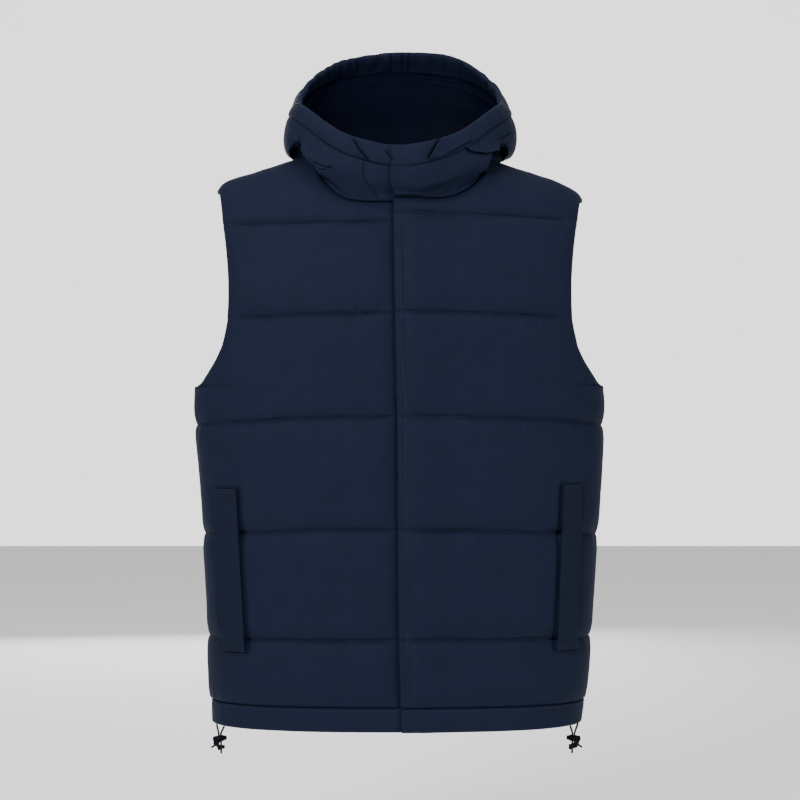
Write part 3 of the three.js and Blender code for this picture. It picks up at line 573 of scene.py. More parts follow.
def add_mesh(name, points, faces, uv=None, materials=(), face_slots=None, smooth_angle=50):
    mesh = bpy.data.meshes.new(name)
    mesh.from_pydata((np.asarray(points) * MM).tolist(), [], faces)
    if uv is not None:
        layer = mesh.uv_layers.new(name="cloth")
        loops = np.empty(len(mesh.loops), np.int32)
        mesh.loops.foreach_get("vertex_index", loops)
        layer.data.foreach_set("uv", (np.asarray(uv)[loops] * MM).astype(np.float32).ravel())
    for material in materials:
        mesh.materials.append(material)
    if face_slots is not None:
        mesh.polygons.foreach_set("material_index", np.asarray(face_slots, np.int32))
    mesh.shade_smooth()
    mesh.set_sharp_from_angle(angle=math.radians(smooth_angle))
    piece = bpy.data.objects.new(name, mesh)
    bpy.context.scene.collection.objects.link(piece)
    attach(piece, "root")
    return piece


# A closed wall between an outer and an inner grid. The inner one keeps the border's points
# and every step-th point inside. The first material is outside, the second inside.
def wall_mesh(name, outer, inner, materials, step=4, outward=1):
    rows, columns = outer.shape[:2]
    up = run_lengths(outer, 0)
    across = run_lengths(outer, 1)
    middle = columns // 2
    across = across - across[:, middle:middle + 1]
    uv_grid = np.stack([across, up + 40], axis=-1)
    keep_rows = sorted(set(range(0, rows, step)) | {rows - 1})
    keep_columns = sorted(set(range(0, columns, step)) | {columns - 1})
    used = np.zeros((rows, columns), bool)
    used[np.ix_(keep_rows, keep_columns)] = True
    used[[0, -1], :] = True
    used[:, [0, -1]] = True
    number = np.full((rows, columns), -1)
    number[used] = rows * columns + np.arange(used.sum())
    points = np.concatenate([outer.reshape(-1, 3), inner[used]])
    uv = np.concatenate([uv_grid.reshape(-1, 2), uv_grid[used]])
    at = np.arange(rows * columns).reshape(rows, columns)
    faces = np.stack([at[:-1, :-1], at[:-1, 1:], at[1:, 1:], at[1:, :-1]], axis=-1).reshape(-1, 4).tolist()
    slots = [0] * len(faces)
    for a, b in zip(keep_rows[:-1], keep_rows[1:]):
        for c, d in zip(keep_columns[:-1], keep_columns[1:]):
            left = range(a, b) if c == 0 else [a]
            top = range(c, d) if b == rows - 1 else [c]
            right = range(b, a, -1) if d == columns - 1 else [b]
            bottom = range(d, c, -1) if a == 0 else [d]
            ring = [number[i, c] for i in left] + [number[b, j] for j in top]
            ring += [number[i, d] for i in right] + [number[a, j] for j in bottom]
            faces.append(ring)
            slots.append(min(1, len(materials) - 1))
    for a, b in zip(range(columns - 1), range(1, columns)):
        faces.append([at[0, b], at[0, a], number[0, a], number[0, b]])
        faces.append([at[-1, a], at[-1, b], number[-1, b], number[-1, a]])
    for a, b in zip(range(rows - 1), range(1, rows)):
        faces.append([at[a, 0], at[b, 0], number[b, 0], number[a, 0]])
        faces.append([at[b, -1], at[a, -1], number[a, -1], number[b, -1]])
    slots += [0] * (len(faces) - len(slots))
    faces = [[int(v) for v in face] for face in faces]
    if outward < 0:
        faces = [face[::-1] for face in faces]
    return add_mesh(name, points, faces, uv, materials, slots)


# A tube through points, with round ends.
def tube_points(path, radius, sides=10, cap=True):
    path = np.asarray(path, float)
    along = unit(np.gradient(path, axis=0))
    guide = np.array([0, 1, 0.0]) if abs(along[0, 1]) < 0.8 else np.array([1, 0, 0.0])
    frames = []
    for direction in along:
        guide = guide - direction * np.dot(guide, direction)
        guide = guide / np.linalg.norm(guide)
        frames.append((guide, np.cross(direction, guide)))
    rings = [(path[i], *frames[i], 1.0, along[i]) for i in range(len(path))]
    if cap:
        ends = [(0.92, 0.4), (0.7, 0.72), (0.38, 0.93), (0.1, 1.0)]
        head = [(path[0] - along[0] * radius * out, *frames[0], size, along[0]) for size, out in ends]
        tail = [(path[-1] + along[-1] * radius * out, *frames[-1], size, along[-1]) for size, out in ends]
        rings = head[::-1] + rings + tail
    angle = np.linspace(0, math.tau, sides, endpoint=False)
    points, uv, length = [], [], 0.0
    last = rings[0][0]
    for centre, one, other, size, _ in rings:
        length += np.linalg.norm(centre - last)
        last = centre
        for a in angle:
            points.append(centre + radius * size * (one * math.cos(a) + other * math.sin(a)))
            uv.append((radius * a, length))
    faces = []
    count = len(rings)
    for i in range(count - 1):
        for j in range(sides):
            k = (j + 1) % sides
            faces.append([i * sides + j, i * sides + k, (i + 1) * sides + k, (i + 1) * sides + j])
    faces.append(list(range(sides))[::-1])
    faces.append([(count - 1) * sides + j for j in range(sides)])
    return np.array(points), faces, np.array(uv)


# Many small meshes gathered into one.
class Gathering:
    def __init__(self):
        self.points, self.faces, self.uv, self.count = [], [], [], 0

    def add(self, points, faces, uv):
        self.faces += [[v + self.count for v in face] for face in faces]
        self.points.append(points)
        self.uv.append(uv)
        self.count += len(points)

    def mesh(self, name, material):
        return add_mesh(name, np.concatenate(self.points), self.faces, np.concatenate(self.uv), [material])


# A row of stitches along points on the cloth, each a short thread that dips in at its ends.
def stitch_row(gathering, path, normals, pitch=3.4, length=2.5, radius=0.2, lift=-0.1):
    lengths = run_lengths(path, 0)
    count = int(lengths[-1] / pitch)
    for k in range(count):
        start = (k + 0.5) * (lengths[-1] / count) - length / 2
        at = start + length * np.array([0, 0.25, 0.5, 0.75, 1])
        dip = np.array([-0.25, 0.12, 0.2, 0.12, -0.25]) + lift
        centre = np.stack([np.interp(at, lengths, path[:, i]) for i in range(3)], axis=-1)
        out = unit(np.stack([np.interp(at, lengths, normals[:, i]) for i in range(3)], axis=-1))
        points, faces, uv = tube_points(centre + out * dip[:, None], radius, 5, cap=False)
        gathering.add(points, faces, uv)


# Padded body panels

FULL_REACH_UP = 26         # distance from a quilting line to full padding
FULL_REACH_ACROSS = 22
GROOVE_DEPTH = 1.8         # the thread pulls the cloth into a narrow groove
GROOVE_WIDTH = 1.9
LAP_SLOPE = 60             # how gently the left front comes down from lying on the right one
PUCKER_HEIGHT = 1.9
PUCKER_REACH = 12
EDGE_ROUND = 1.9
PANEL_SPACING = 2.6        # distance between a panel's rows and columns of points
ARMPIT_PLACE = 3.44        # where the armpit lies, as counted in sewn lines
ARMPIT_REACH = 0.16        # how far from it shapes are eased, counted the same way
ARMPIT_PASSES = 160        # how often neighbouring rows are averaged there
ROWS_APART = 0.003         # rows closer than this are left out


# How full the padding is at a distance from where it is stitched flat.
def fullness(distance, reach):
    return 1 - (1 - np.clip(distance / reach, 0, 1)) ** 2.4


# How much of its lift the left front still has at a distance from its edge.
def lap_rise(start):
    return 1 - smooth((start - 12) / LAP_SLOPE)


# How far a turned edge falls away towards its border.
def edge_drop(distance, radius=EDGE_ROUND):
    inside = np.clip(radius - distance, 0, radius)
    return radius - np.sqrt(radius ** 2 - inside ** 2)


# Small folds that run square to a seam, irregular and in patches.
def puckers(seed, along, distance, height=PUCKER_HEIGHT, reach=PUCKER_REACH):
    slant = along + distance * 0.5 * soft_noise(seed + 1, along, 46)
    wave = 0.62 * soft_noise(seed + 2, slant, 5.2) + 0.7 * soft_noise(seed + 3, slant, 10.5)
    patch = 0.35 + 0.65 * np.abs(soft_noise(seed + 4, along, 58))
    rise = 1 - np.exp(-(distance / 2.2) ** 2)
    return height * wave * patch * rise * np.exp(-distance / reach)


# Row places of a panel: the sewn lines' own rows, graded rows between them, and fine ones
# beside the armpit.
def panel_rows(side, faces, spacing):
    v = np.linspace(0, 6, 601)
    middle = panel_surface(side, faces, np.full(601, 60.0), v)
    lengths = run_lengths(middle, 0)
    rows = [0.0]
    for k in range(6):
        start, end = lengths[100 * k], lengths[100 * (k + 1)]
        places = start + graded(end - start, spacing)[1:]
        rows += list(np.interp(places, lengths, v))
        rows[-1] = float(k + 1)
    beside_armpit = np.linspace(ARMPIT_PLACE - 0.055, ARMPIT_PLACE + 0.06, 20)
    rows = np.unique(np.round(rows + list(beside_armpit), 5))
    whole = np.abs(rows - np.round(rows)) < 1e-6
    apart = np.concatenate([[True], np.diff(rows) > ROWS_APART])
    return rows[whole | apart]


# Column places of a panel, as where each meets the top edge.
def panel_columns(side, faces, spacing, from_middle):
    start = inner_edge(side, faces, 20)
    tops = np.linspace(start, SHOULDER_TIP, 400)
    lengths = run_lengths(panel_surface(side, faces, tops, np.full(400, 2.5)), 0)
    places = graded(lengths[-1], spacing)
    if from_middle:
        places = np.concatenate([np.linspace(0, places[6], 5), places[7:]])
    columns = np.interp(places, lengths, tops)
    columns[np.argmin(np.abs(columns - NECK_HALF_WIDTH))] = NECK_HALF_WIDTH
    return columns


# Distances up the cloth to the nearest sewn line, which line that is, and on which side.
def line_distances(points, rows):
    lengths = run_lengths(points, 0)
    at_lines = np.array([lengths[int(np.argmin(np.abs(rows - k)))] for k in range(7)])
    gaps = lengths[None] - at_lines[:, None, :]
    nearest = np.abs(gaps).argmin(axis=0)
    signed = np.take_along_axis(gaps, nearest[None], axis=0)[0]
    return signed, nearest


# Distance to the armhole's edge, which the rows below the arm run along.
def armhole_distance(points, column):
    edge = points[:, column]
    edge = edge[(edge[:, 2] > ARMPIT_Z - 1) & (edge[:, 2] < -180)]
    corner = edge[0].copy()
    corner[1] = 0.0
    edge = np.concatenate([[corner], edge])
    edge = np.concatenate([edge[:-1] + (edge[1:] - edge[:-1]) * t for t in (0, 0.25, 0.5, 0.75)])
    away = np.full(points.shape[:2], 1e3)
    near = (points[..., 2] > -330) & (points[..., 2] < -150) & (points[..., 0] * corner[0] > 0)
    near &= np.abs(points[..., 0]) > 170
    gaps = np.linalg.norm(points[near][:, None] - edge[None], axis=-1)
    away[near] = gaps.min(axis=1)
    return away


# Values over a panel that change gradually past the armpit, where the panel's edge bends.
def eased_at_armpit(values, rows):
    share = np.exp(-((rows - ARMPIT_PLACE) / ARMPIT_REACH) ** 2)
    share = share.reshape((-1,) + (1,) * (values.ndim - 1))
    eased = values
    for _ in range(ARMPIT_PASSES):
        wider = np.concatenate([eased[:1], eased, eased[-1:]])
        eased = mix(eased, (wider[:-2] + wider[2:]) / 2, 0.5 * share)
    return eased


# Padding pressed flat under a welt, pinched along its sewn inner edge, and parted from its
# free outer edge by the pocket's mouth.
def pocket_dip(side, points):
    w = WELTS[SIDES[side]]
    x, z = np.abs(points[..., 0]), points[..., 2]
    down = np.clip((w["top"] - z) / (w["top"] - w["bottom"]), 0, 1)
    within = smooth((w["top"] + 8 - z) / 10) * smooth((z - w["bottom"] + 8) / 10)
    inner = mix(w["in_top"], w["in_bottom"], down)
    outer = mix(w["out_top"], w["out_bottom"], down)
    under = smooth((x - inner + 3) / 3) * smooth((outer + 9 - x) / 9)
    pinch = np.exp(-((x - inner + 1.5) / 3.2) ** 2)
    open_part = smooth((w["top"] - z) / 5) * smooth((z - w["bottom"]) / 60)
    mouth = np.exp(-((x - outer - 1.5) / 2.4) ** 2) * open_part
    return within * (1.6 * under + 3.4 * pinch + 2.8 * mouth)


# Shallow dents where the cloth folds a little: place, reach across and up, depth.
DENTS = [
    {"x": -243, "z": -246, "across": 9, "up": 15, "depth": 1.6},
    {"x": 228, "z": -232, "across": 7, "up": 9, "depth": 2.4},
    {"x": 205, "z": -330, "across": 60, "up": 7, "depth": 0.7},
    {"x": -150, "z": -424, "across": 70, "up": 12, "depth": 0.9},
    {"x": 95, "z": -345, "across": 26, "up": 34, "depth": 0.8},
    {"x": -227, "z": -478, "across": 4, "up": 12, "depth": 2.6},
]


def dents(points):
    total = np.zeros(points.shape[:-1])
    for d in DENTS:
        away = ((points[..., 0] - d["x"]) / d["across"]) ** 2 + ((points[..., 2] - d["z"]) / d["up"]) ** 2
        total += d["depth"] * np.exp(-away) * (points[..., 1] < 0)
    return total


# Outer and inner points of a padded panel. flat is the width of the flat strip along its
# free front edge, and lift raises it there. puffy_start says that it has such an edge.
def padded_panel(points, normals, rows, seed, flat, lift, side, puffy_start):
    signed, nearest = line_distances(points, rows)
    distance = np.abs(signed)
    across = run_lengths(points, 1)
    start, end = across, across[:, -1:] - across
    hole = armhole_distance(points, -1)
    if not puffy_start:
        hole = np.minimum(hole, armhole_distance(points, 0))
    to_edge = np.minimum(np.maximum(0, start - flat), end) if puffy_start else np.minimum(start, end)
    to_edge = np.minimum(to_edge, hole)
    side_away = end if puffy_start else np.minimum(start, end)
    ease = 0.45 + 0.55 * smooth((side_away - 6) / 32)
    full = 1 - (1 - fullness(distance, FULL_REACH_UP)) * ease
    full = full * fullness(to_edge, FULL_REACH_ACROSS)
    relief = -(BODY_WALL - SEWN) * (1 - full)
    relief -= GROOVE_DEPTH * ease * np.exp(-(distance / GROOVE_WIDTH) ** 2)
    fade = smooth(np.maximum(0, start - flat) / 12) if flat else 1.0
    up = run_lengths(points, 0)
    tip = 1 - np.exp(-(((up[-1:] - up) / 26) ** 2 + (side_away / 34) ** 2))
    fade = fade * (0.35 + 0.65 * ease) * tip
    for k in range(7):
        for way in (-1, 1):
            here = (nearest == k) & (np.sign(signed) == way)
            fold = puckers(seed + 10 * k + 5 * (way > 0), across, distance)
            relief += np.where(here, fold, 0) * fade * (0.55 if k == 6 else 1)
    relief += puckers(seed + 90, up, end, 0.9, 9) * smooth((up[-1:] - up - 6) / 30)
    if not puffy_start:
        relief += puckers(seed + 95, up, start, 0.9, 9) * smooth((up[-1:] - up - 6) / 30)
    relief += 0.75 * full * tip * soft_noise(seed + 80, across, 62, up)
    relief += 0.3 * full * tip * soft_noise(seed + 81, across, 23, up)
    relief -= dents(points)
    if side:
        relief -= pocket_dip(side, points)
    border = np.minimum(np.minimum(start, end), np.minimum(up, up[-1:] - up))
    border = np.minimum(border, hole)
    relief -= edge_drop(border)
    raised = lift * lap_rise(start)
    if flat == EDGE_STRIP:
        relief -= 0.7 * np.exp(-((start - EDGE_STRIP) / 1.2) ** 2)
    if side < 0:
        relief -= 1.9 * np.exp(-((start - UNDERLAP) / 2.4) ** 2)
    relief = eased_at_armpit(relief, rows)
    wiggle = 0.9 * np.exp(-(distance / 20) ** 2)
    shift = np.zeros_like(points)
    shift[..., 2] = wiggle * soft_noise(seed + 70, across + 200.0 * nearest, 27) * smooth((border - 2) / 8)
    outer = points + normals * (relief + raised)[..., None] + shift
    inner = points + normals * (raised - BODY_WALL)[..., None]
    return outer, inner


def line_index(rows, k):
    return int(np.argmin(np.abs(rows - k)))


stitches = Gathering()


def front_panel(side):
    rows = panel_rows(side, -1, PANEL_SPACING)
    columns = panel_columns(side, -1, PANEL_SPACING, False)
    points = panel_surface(side, -1, columns[None, :], rows[:, None])
    normals = unit(eased_at_armpit(panel_normals(side, -1, columns[None, :], rows[:, None], side), rows))
    flat = UNDERLAP + 4 if side < 0 else EDGE_STRIP
    lift = 0 if side < 0 else LAP_LIFT
    outer, inner = padded_panel(points, normals, rows, 100 + 200 * (side > 0), flat, lift, side, True)
    name = f"front_{SIDES[side]}"
    piece = wall_mesh(f"{name}_panel", outer, inner, [SHELL, LINING], outward=side)
    for k in range(1, 6):
        row = line_index(rows, k)
        start = int(np.argmax(run_lengths(outer[row][None], 1)[0] > (flat if side > 0 else UNDERLAP + 2)))
        stitch_row(stitches, outer[row, start:-3], normals[row, start:-3])
    if side > 0:
        strip = int(np.argmin(np.abs(run_lengths(points[len(rows) // 2][None], 1)[0] - EDGE_STRIP)))
        stitch_row(stitches, outer[2:-2, strip], normals[2:-2, strip])
    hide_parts(name)
    return piece


def back_panel():
    rows = panel_rows(1, 1, PANEL_SPACING)
    left = panel_columns(1, 1, PANEL_SPACING + 0.4, True)
    right = panel_columns(-1, 1, PANEL_SPACING + 0.4, True)[1:][::-1]
    points = np.concatenate([panel_surface(-1, 1, right[None, :], rows[:, None]),
                             panel_surface(1, 1, left[None, :], rows[:, None])], axis=1)
    normals = np.concatenate([panel_normals(-1, 1, right[None, :], rows[:, None], 1),
                              panel_normals(1, 1, left[None, :], rows[:, None], -1)], axis=1)
    normals = unit(eased_at_armpit(normals, rows))
    outer, inner = padded_panel(points, normals, rows, 500, 0, 0, 0, False)
    piece = wall_mesh("back_panel", outer, inner, [SHELL, LINING], outward=-1)
    for k in range(1, 6):
        row = line_index(rows, k)
        stitch_row(stitches, outer[row, 3:-3], normals[row, 3:-3])
    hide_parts("back")
    return piece


# The hem band, a strip folded double round the drawcord

BAND_HEIGHT = 28.5
BAND_STITCH = 3.2          # from the band's seam down to its row of stitches


def hem_band(name, points, normals, seed, lift, laps, outward):
    across = run_lengths(points, 1)
    down = run_lengths(points, 0)
    up = down[-1:] - down
    start, end = across, across[:, -1:] - across
    raised = lift * lap_rise(start)
    thin = smooth((UNDERLAP + 6 - start) / 4) if laps else 0
    relief = mix(HEM_WALL, SEWN, thin) - BODY_WALL
    relief = relief + puckers(seed, across, down, 0.9, 9) + puckers(seed + 5, across, up, 0.5, 8)
    relief += 0.35 * soft_noise(seed + 9, across, 34, down)
    relief -= 0.6 * np.exp(-((down - BAND_STITCH) / 0.9) ** 2)
    border = np.minimum(np.minimum(start, end), np.minimum(down, up))
    relief -= edge_drop(border, 2.2)
    outer = points + normals * (relief + raised)[..., None]
    inner = points + normals * (raised - BODY_WALL + 0.4 * np.exp(-(up / 2) ** 2))[..., None]
    piece = wall_mesh(f"{name}_band", outer, inner, [SHELL, SHELL], outward=outward)
    row = int(np.argmin(np.abs(down[:, down.shape[1] // 2] - BAND_STITCH)))
    stitch_row(stitches, outer[row, 3:-3], normals[row, 3:-3])
    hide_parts(name)
    return piece


def hem_bands():
    down = graded(BAND_HEIGHT, 2.2, (0.5, 1.2, 2.2, BAND_STITCH)) / BAND_HEIGHT
    for side in (-1, 1):
        columns = panel_columns(side, -1, 3.0, False)
        points = hem_surface(side, -1, columns[None, :], down[:, None])
        normals = grid_normals(points, -side)
        lift = 0 if side < 0 else LAP_LIFT
        hem_band(f"hem_{SIDES[side]}", points, normals, 700 + 20 * side, lift, True, -side)
    left = panel_columns(1, 1, 3.2, True)
    right = panel_columns(-1, 1, 3.2, True)[1:][::-1]
    points = np.concatenate([hem_surface(-1, 1, right[None, :], down[:, None]),
                             hem_surface(1, 1, left[None, :], down[:, None])], axis=1)
    hem_band("hem_back", points, grid_normals(points, 1), 760, 0, False, 1)


# Hood

# Points and outward directions along the neck seam, at counts round it. Each runs straight
# between the last front column and the corner at the shoulder.
def neck_edge(counts):
    corners = np.array([8.0, 9.0, LAST_COUNT - 9.0, LAST_COUNT - 8.0])
    every = np.concatenate([counts, corners])
    points, normals = neck_frames(every)
    for a, b in ((0, 1), (2, 3)):
        here = (counts > corners[a]) & (counts < corners[b])
        t = (counts[here] - corners[a])[:, None]
        for values in (points, normals):
            low, high = values[len(counts) + a], values[len(counts) + b]
            values[:len(counts)][here] = mix(low, high, t)
    return points[:len(counts)], unit(normals[:len(counts)])


# The same by the panels' own surfaces.
def neck_frames(counts):
    points, normals = np.zeros((len(counts), 3)), np.zeros((len(counts), 3))
    for side in (-1, 1):
        from_front = counts if side < 0 else LAST_COUNT - counts
        front = from_front <= 9
        behind = (from_front > 9) & (from_front <= MIDDLE_COUNT)
        for faces, chosen in ((-1, front), (1, behind)):
            if not chosen.any():
                continue
            if faces < 0:
                tops = np.interp(from_front[chosen], FRONT_NECK["count"], FRONT_NECK[SIDES[side]])
            else:
                tops = np.interp(MIDDLE_COUNT - from_front[chosen], BACK_NECK["count"], BACK_NECK["x"])
            grid = np.stack([panel_surface(side, faces, tops + shift, 6.0) for shift in (-0.4, 0.4)])
            below = panel_surface(side, faces, tops, 5.98)
            here = panel_surface(side, faces, tops, 6.0)
            normal = unit(np.cross(grid[1] - grid[0], here - below)) * -side * faces
            points[chosen], normals[chosen] = here, normal
    return points, normals


# How far the hood's left edge is raised, where it laps over the right one.
def hood_lift(counts):
    return LAP_LIFT * smooth((counts - (LAST_COUNT - 3.4)) / 1.4)


# A point of one of the hood's level loops, at an angle round the neck. neck_x is how far
# from the middle the profile starts at the neck seam.
def loop_point(i, angle, neck_x):
    loop = {key: values[i] for key, values in HOOD_LOOPS.items()}
    middle, reach = (loop["front"] + loop["back"]) / 2, (loop["back"] - loop["front"]) / 2
    sine, cosine = np.sin(angle), np.cos(angle)
    around = np.sign(sine) * np.abs(sine) ** (2 / HOOD_POWER)
    share = mix(neck_x / NECK_HALF_WIDTH, around, smooth(np.abs(neck_x) / 60))
    x = loop["width"] * share
    deep = np.maximum(0, 1 - np.abs(share) ** HOOD_POWER) ** (1 / HOOD_POWER)
    y = middle - reach * np.sign(cosine) * deep
    middle_z = (loop["front_z"] + loop["back_z"]) / 2
    z = middle_z - (loop["back_z"] - loop["front_z"]) / 2 * cosine
    z = z + (loop["side_z"] - middle_z + loop["cheek_z"] * np.maximum(0, cosine)) * sine ** 2
    if i == 3:
        z = z + 3.8 * np.exp(-((x - 60) / 36) ** 2) * smooth(y / 60)
    return stack(x, y, z)


# The hood's outside over the neck: up runs from the neck seam, 0, to the rim, 1.
class Hood:
    def __init__(self, counts):
        self.counts = counts
        points, normals = neck_edge(counts)
        around = run_lengths(points[None], 1)[0]
        from_left = around[-1] - around
        raised = LAP_LIFT * lap_rise(from_left) * (counts > MIDDLE_COUNT)
        tangent = np.gradient(points, axis=0)
        move = unit(np.cross(tangent, normals)) * NECK_GAP
        inward = stack(-points[:, 0], NECK_CENTRE_Y - points[:, 1], 0)
        move = np.where((np.sum(move * inward, axis=1) < 0)[:, None], -move, move)
        self.outer = points + normals * (SEWN - BODY_WALL + raised)[:, None] + move
        self.inner = points + normals * (raised - BODY_WALL)[:, None] + move
        x, y = self.outer[:, 0], self.outer[:, 1]
        angle = np.arctan2(x / NECK_HALF_WIDTH, -(y - NECK_CENTRE_Y) / 74)
        stand = self.outer + stack(1.5 * np.sin(angle), -1.5 * np.cos(angle), NECK_STAND)
        loops = [loop_point(i, angle, x) for i in range(4)]
        knots = [self.outer, stand, *loops]
        self.knots = np.array([2 * knots[0] - knots[1], *knots, 2 * knots[-1] - knots[-2]])
        self.gaps = np.maximum(np.sum(np.diff(self.knots, axis=0) ** 2, axis=-1) ** 0.25, 1e-4)

    # Points of the profiles at shares of the way up, rows by columns.
    def surface(self, ups):
        ups = np.broadcast_to(np.asarray(ups, float).reshape(len(ups), -1), (len(ups), len(self.counts)))
        place = np.clip(ups, 0, 1) * 5
        i = np.minimum(np.floor(place).astype(int), 4)
        t = (place - i)[..., None]
        column = np.broadcast_to(np.arange(len(self.counts)), i.shape)
        x0, x1, x2, x3 = (self.knots[i + k, column] for k in range(4))
        d0, d1, d2 = (self.gaps[i + k, column][..., None] for k in range(3))
        s1 = ((x1 - x0) / d0 - (x2 - x0) / (d0 + d1) + (x2 - x1) / d1) * d1
        s2 = ((x2 - x1) / d1 - (x3 - x1) / (d1 + d2) + (x3 - x2) / d2) * d1
        return x1 + s1 * t + (3 * (x2 - x1) - 2 * s1 - s2) * t ** 2 + (2 * (x1 - x2) + s1 + s2) * t ** 3


# Where points lie in the photograph's view, in millimetres at the vest's middle.
def seen(points):
    scale = EYE_DISTANCE / (EYE_DISTANCE + points[..., 1])
    return points[..., 0] * scale, (points[..., 2] - EYE_Z) * scale + EYE_Z


# Distance from a seen place to a line through seen places, with the share of the way along,
# the side that the place is on, and the direction square to the line.
def distance_to_line(x, z, line):
    line = np.asarray(line, float)
    best = np.full(np.shape(x), 1e9)
    share = np.zeros(np.shape(x))
    side_of = np.zeros(np.shape(x))
    across = [np.zeros(np.shape(x)), np.zeros(np.shape(x))]
    total = np.linalg.norm(np.diff(line, axis=0), axis=1)
    done = np.concatenate([[0], np.cumsum(total)])
    for k in range(len(line) - 1):
        along = (line[k + 1] - line[k]) / total[k]
        u, w = x - line[k, 0], z - line[k, 1]
        t = np.clip(u * along[0] + w * along[1], 0, total[k])
        away = np.hypot(u - t * along[0], w - t * along[1])
        turn = np.sign(along[0] * w - along[1] * u)
        closer = away < best
        best = np.where(closer, away, best)
        share = np.where(closer, (done[k] + t) / done[-1], share)
        side_of = np.where(closer, turn, side_of)
        across[0] = np.where(closer, -along[1], across[0])
        across[1] = np.where(closer, along[0], across[1])
    return best, share, side_of, across


# Folds of the hood as the photograph shows them, as lines seen from the front. The cloth on
# one side, over, laps past the line and stands up; on the other side it sinks away.
HOOD_FOLDS = [
    {"line": [(-62.5, 32.5), (-52.5, 16), (-44, 6), (-37, 0)],
     "over": -1, "sink": 6, "rise": 1.5, "lap": 1.6},
    {"line": [(-20, 15), (-13, 7), (-9, 1)], "over": -1, "sink": 4, "rise": 1.0, "lap": 1.0},
    {"line": [(54, 33), (46, 21), (40, 10), (34, 3)], "over": 1, "sink": 7, "rise": 2.4, "lap": 2.4},
    {"line": [(35, 2), (56, 11), (77, 23), (94, 31)], "over": 1, "sink": 3.5, "rise": 1.4, "lap": 1.0},
    {"line": [(81, 23), (92, 17), (108, 15), (117, 18), (128, 21)],
     "over": 1, "sink": 10, "rise": 3, "lap": 3.4},
    {"line": [(-111, 6.5), (-98, 1), (-86, -4)], "over": 1, "sink": 5.5, "rise": 2.2, "lap": 2.0},
    {"line": [(-105, -1), (-100, -5), (-94, -7.5)], "over": 1, "sink": 4.5, "rise": 1.6, "lap": 1.4},
    {"line": [(141, 37), (134, 32), (127, 28)], "over": 1, "sink": 4, "rise": 0.8, "lap": 0.6},
    {"line": [(102, 29), (103, 19)], "over": 1, "sink": 3, "rise": 0.4, "lap": 0.3},
    {"line": [(126, 29), (125, 19)], "over": -1, "sink": 3, "rise": 0.4, "lap": 0.3},
    {"line": [(-135, 31), (-133, 18)], "over": 1, "sink": 3, "rise": 0.4, "lap": 0.3},
    {"line": [(-128, 33), (-127, 17)], "over": -1, "sink": 3.4, "rise": 0.5, "lap": 0.4},
]
FOLD_WIDTH = 5.0           # how far from its line a fold is felt


# How far the folds move the cloth: along its outward direction, and across as seen from
# the front, in x and z.
def hood_folds(points, in_front):
    x, z = seen(points)
    depth, shift_x, shift_z = np.zeros(x.shape), np.zeros(x.shape), np.zeros(x.shape)
    for fold in HOOD_FOLDS:
        away, share, side_of, across = distance_to_line(x, z, fold["line"])
        strength = smooth(share / 0.2 + 0.15) * smooth((1 - share) / 0.2 + 0.15) * in_front
        signed = away * side_of * fold["over"]
        upper = smooth((signed + 0.9) / 1.8)
        near = strength * np.exp(-(signed / FOLD_WIDTH) ** 2)
        narrow = strength * np.exp(-np.abs(signed) / 2.6)
        depth += upper * near * fold["rise"] - (1 - upper) * narrow * fold["sink"]
        shift_x -= upper * near * fold["lap"] * fold["over"] * across[0]
        shift_z -= upper * near * fold["lap"] * fold["over"] * across[1]
    return depth, stack(shift_x, 0, shift_z)


# Beside the front's lobes the hood falls back into deep hollows over the shoulders: seen
# heights, the lobe's edge and the hollow's far edge there, and how softly it starts above.
HOLLOWS = [
    {
        "z": [-12, -2, 6, 16, 28],
        "lobe": [-100, -108, -115, -121.5, -123],
        "far": [-127, -134, -137, -138, -132],
        "fade": 11,
    },
    {
        "z": [-18, 0, 10, 17, 25],
        "lobe": [105, 110, 113, 118, 124],
        "far": [127, 132, 135, 135.5, 132],
        "fade": 8,
    },
]
HOLLOW_DEPTH = 40


# How far the hollows move the cloth: back into the hood, and the lobe's edge out over them.
def hood_hollows(points, ups, rim_distance):
    x, z = seen(points)
    back, out = np.zeros(x.shape), np.zeros(x.shape)
    for hollow in HOLLOWS:
        side = np.sign(hollow["lobe"][0])
        beyond = (x - np.interp(z, hollow["z"], hollow["lobe"])) * side
        before = (np.interp(z, hollow["z"], hollow["far"]) - x) * side
        top = 1 - smooth((z - hollow["z"][-1] + hollow["fade"]) / hollow["fade"])
        lobe = 1 - smooth((beyond + 1) / 2.5)
        lobe_edge = lobe * np.exp(-(np.minimum(beyond, 0) / 6) ** 2)
        back += top * (HOLLOW_DEPTH * smooth((beyond + 1) / 4) * smooth((before + 1) / 4) - 3 * lobe_edge)
        out += top * side * 3.5 * lobe_edge
    felt = smooth((20 - points[..., 1]) / 30) * smooth((rim_distance - 2) / 12) * smooth(ups / 0.25)
    return stack(out * felt, back * felt, 0)


HOOD_SEAMS = (13, 15)      # counts round the neck where the middle panel is sewn in
HOOD_STEPS = 24            # columns between two counts
LINING_SEAMS = (-63, 44)   # where the lining's middle piece shows its seams at the back


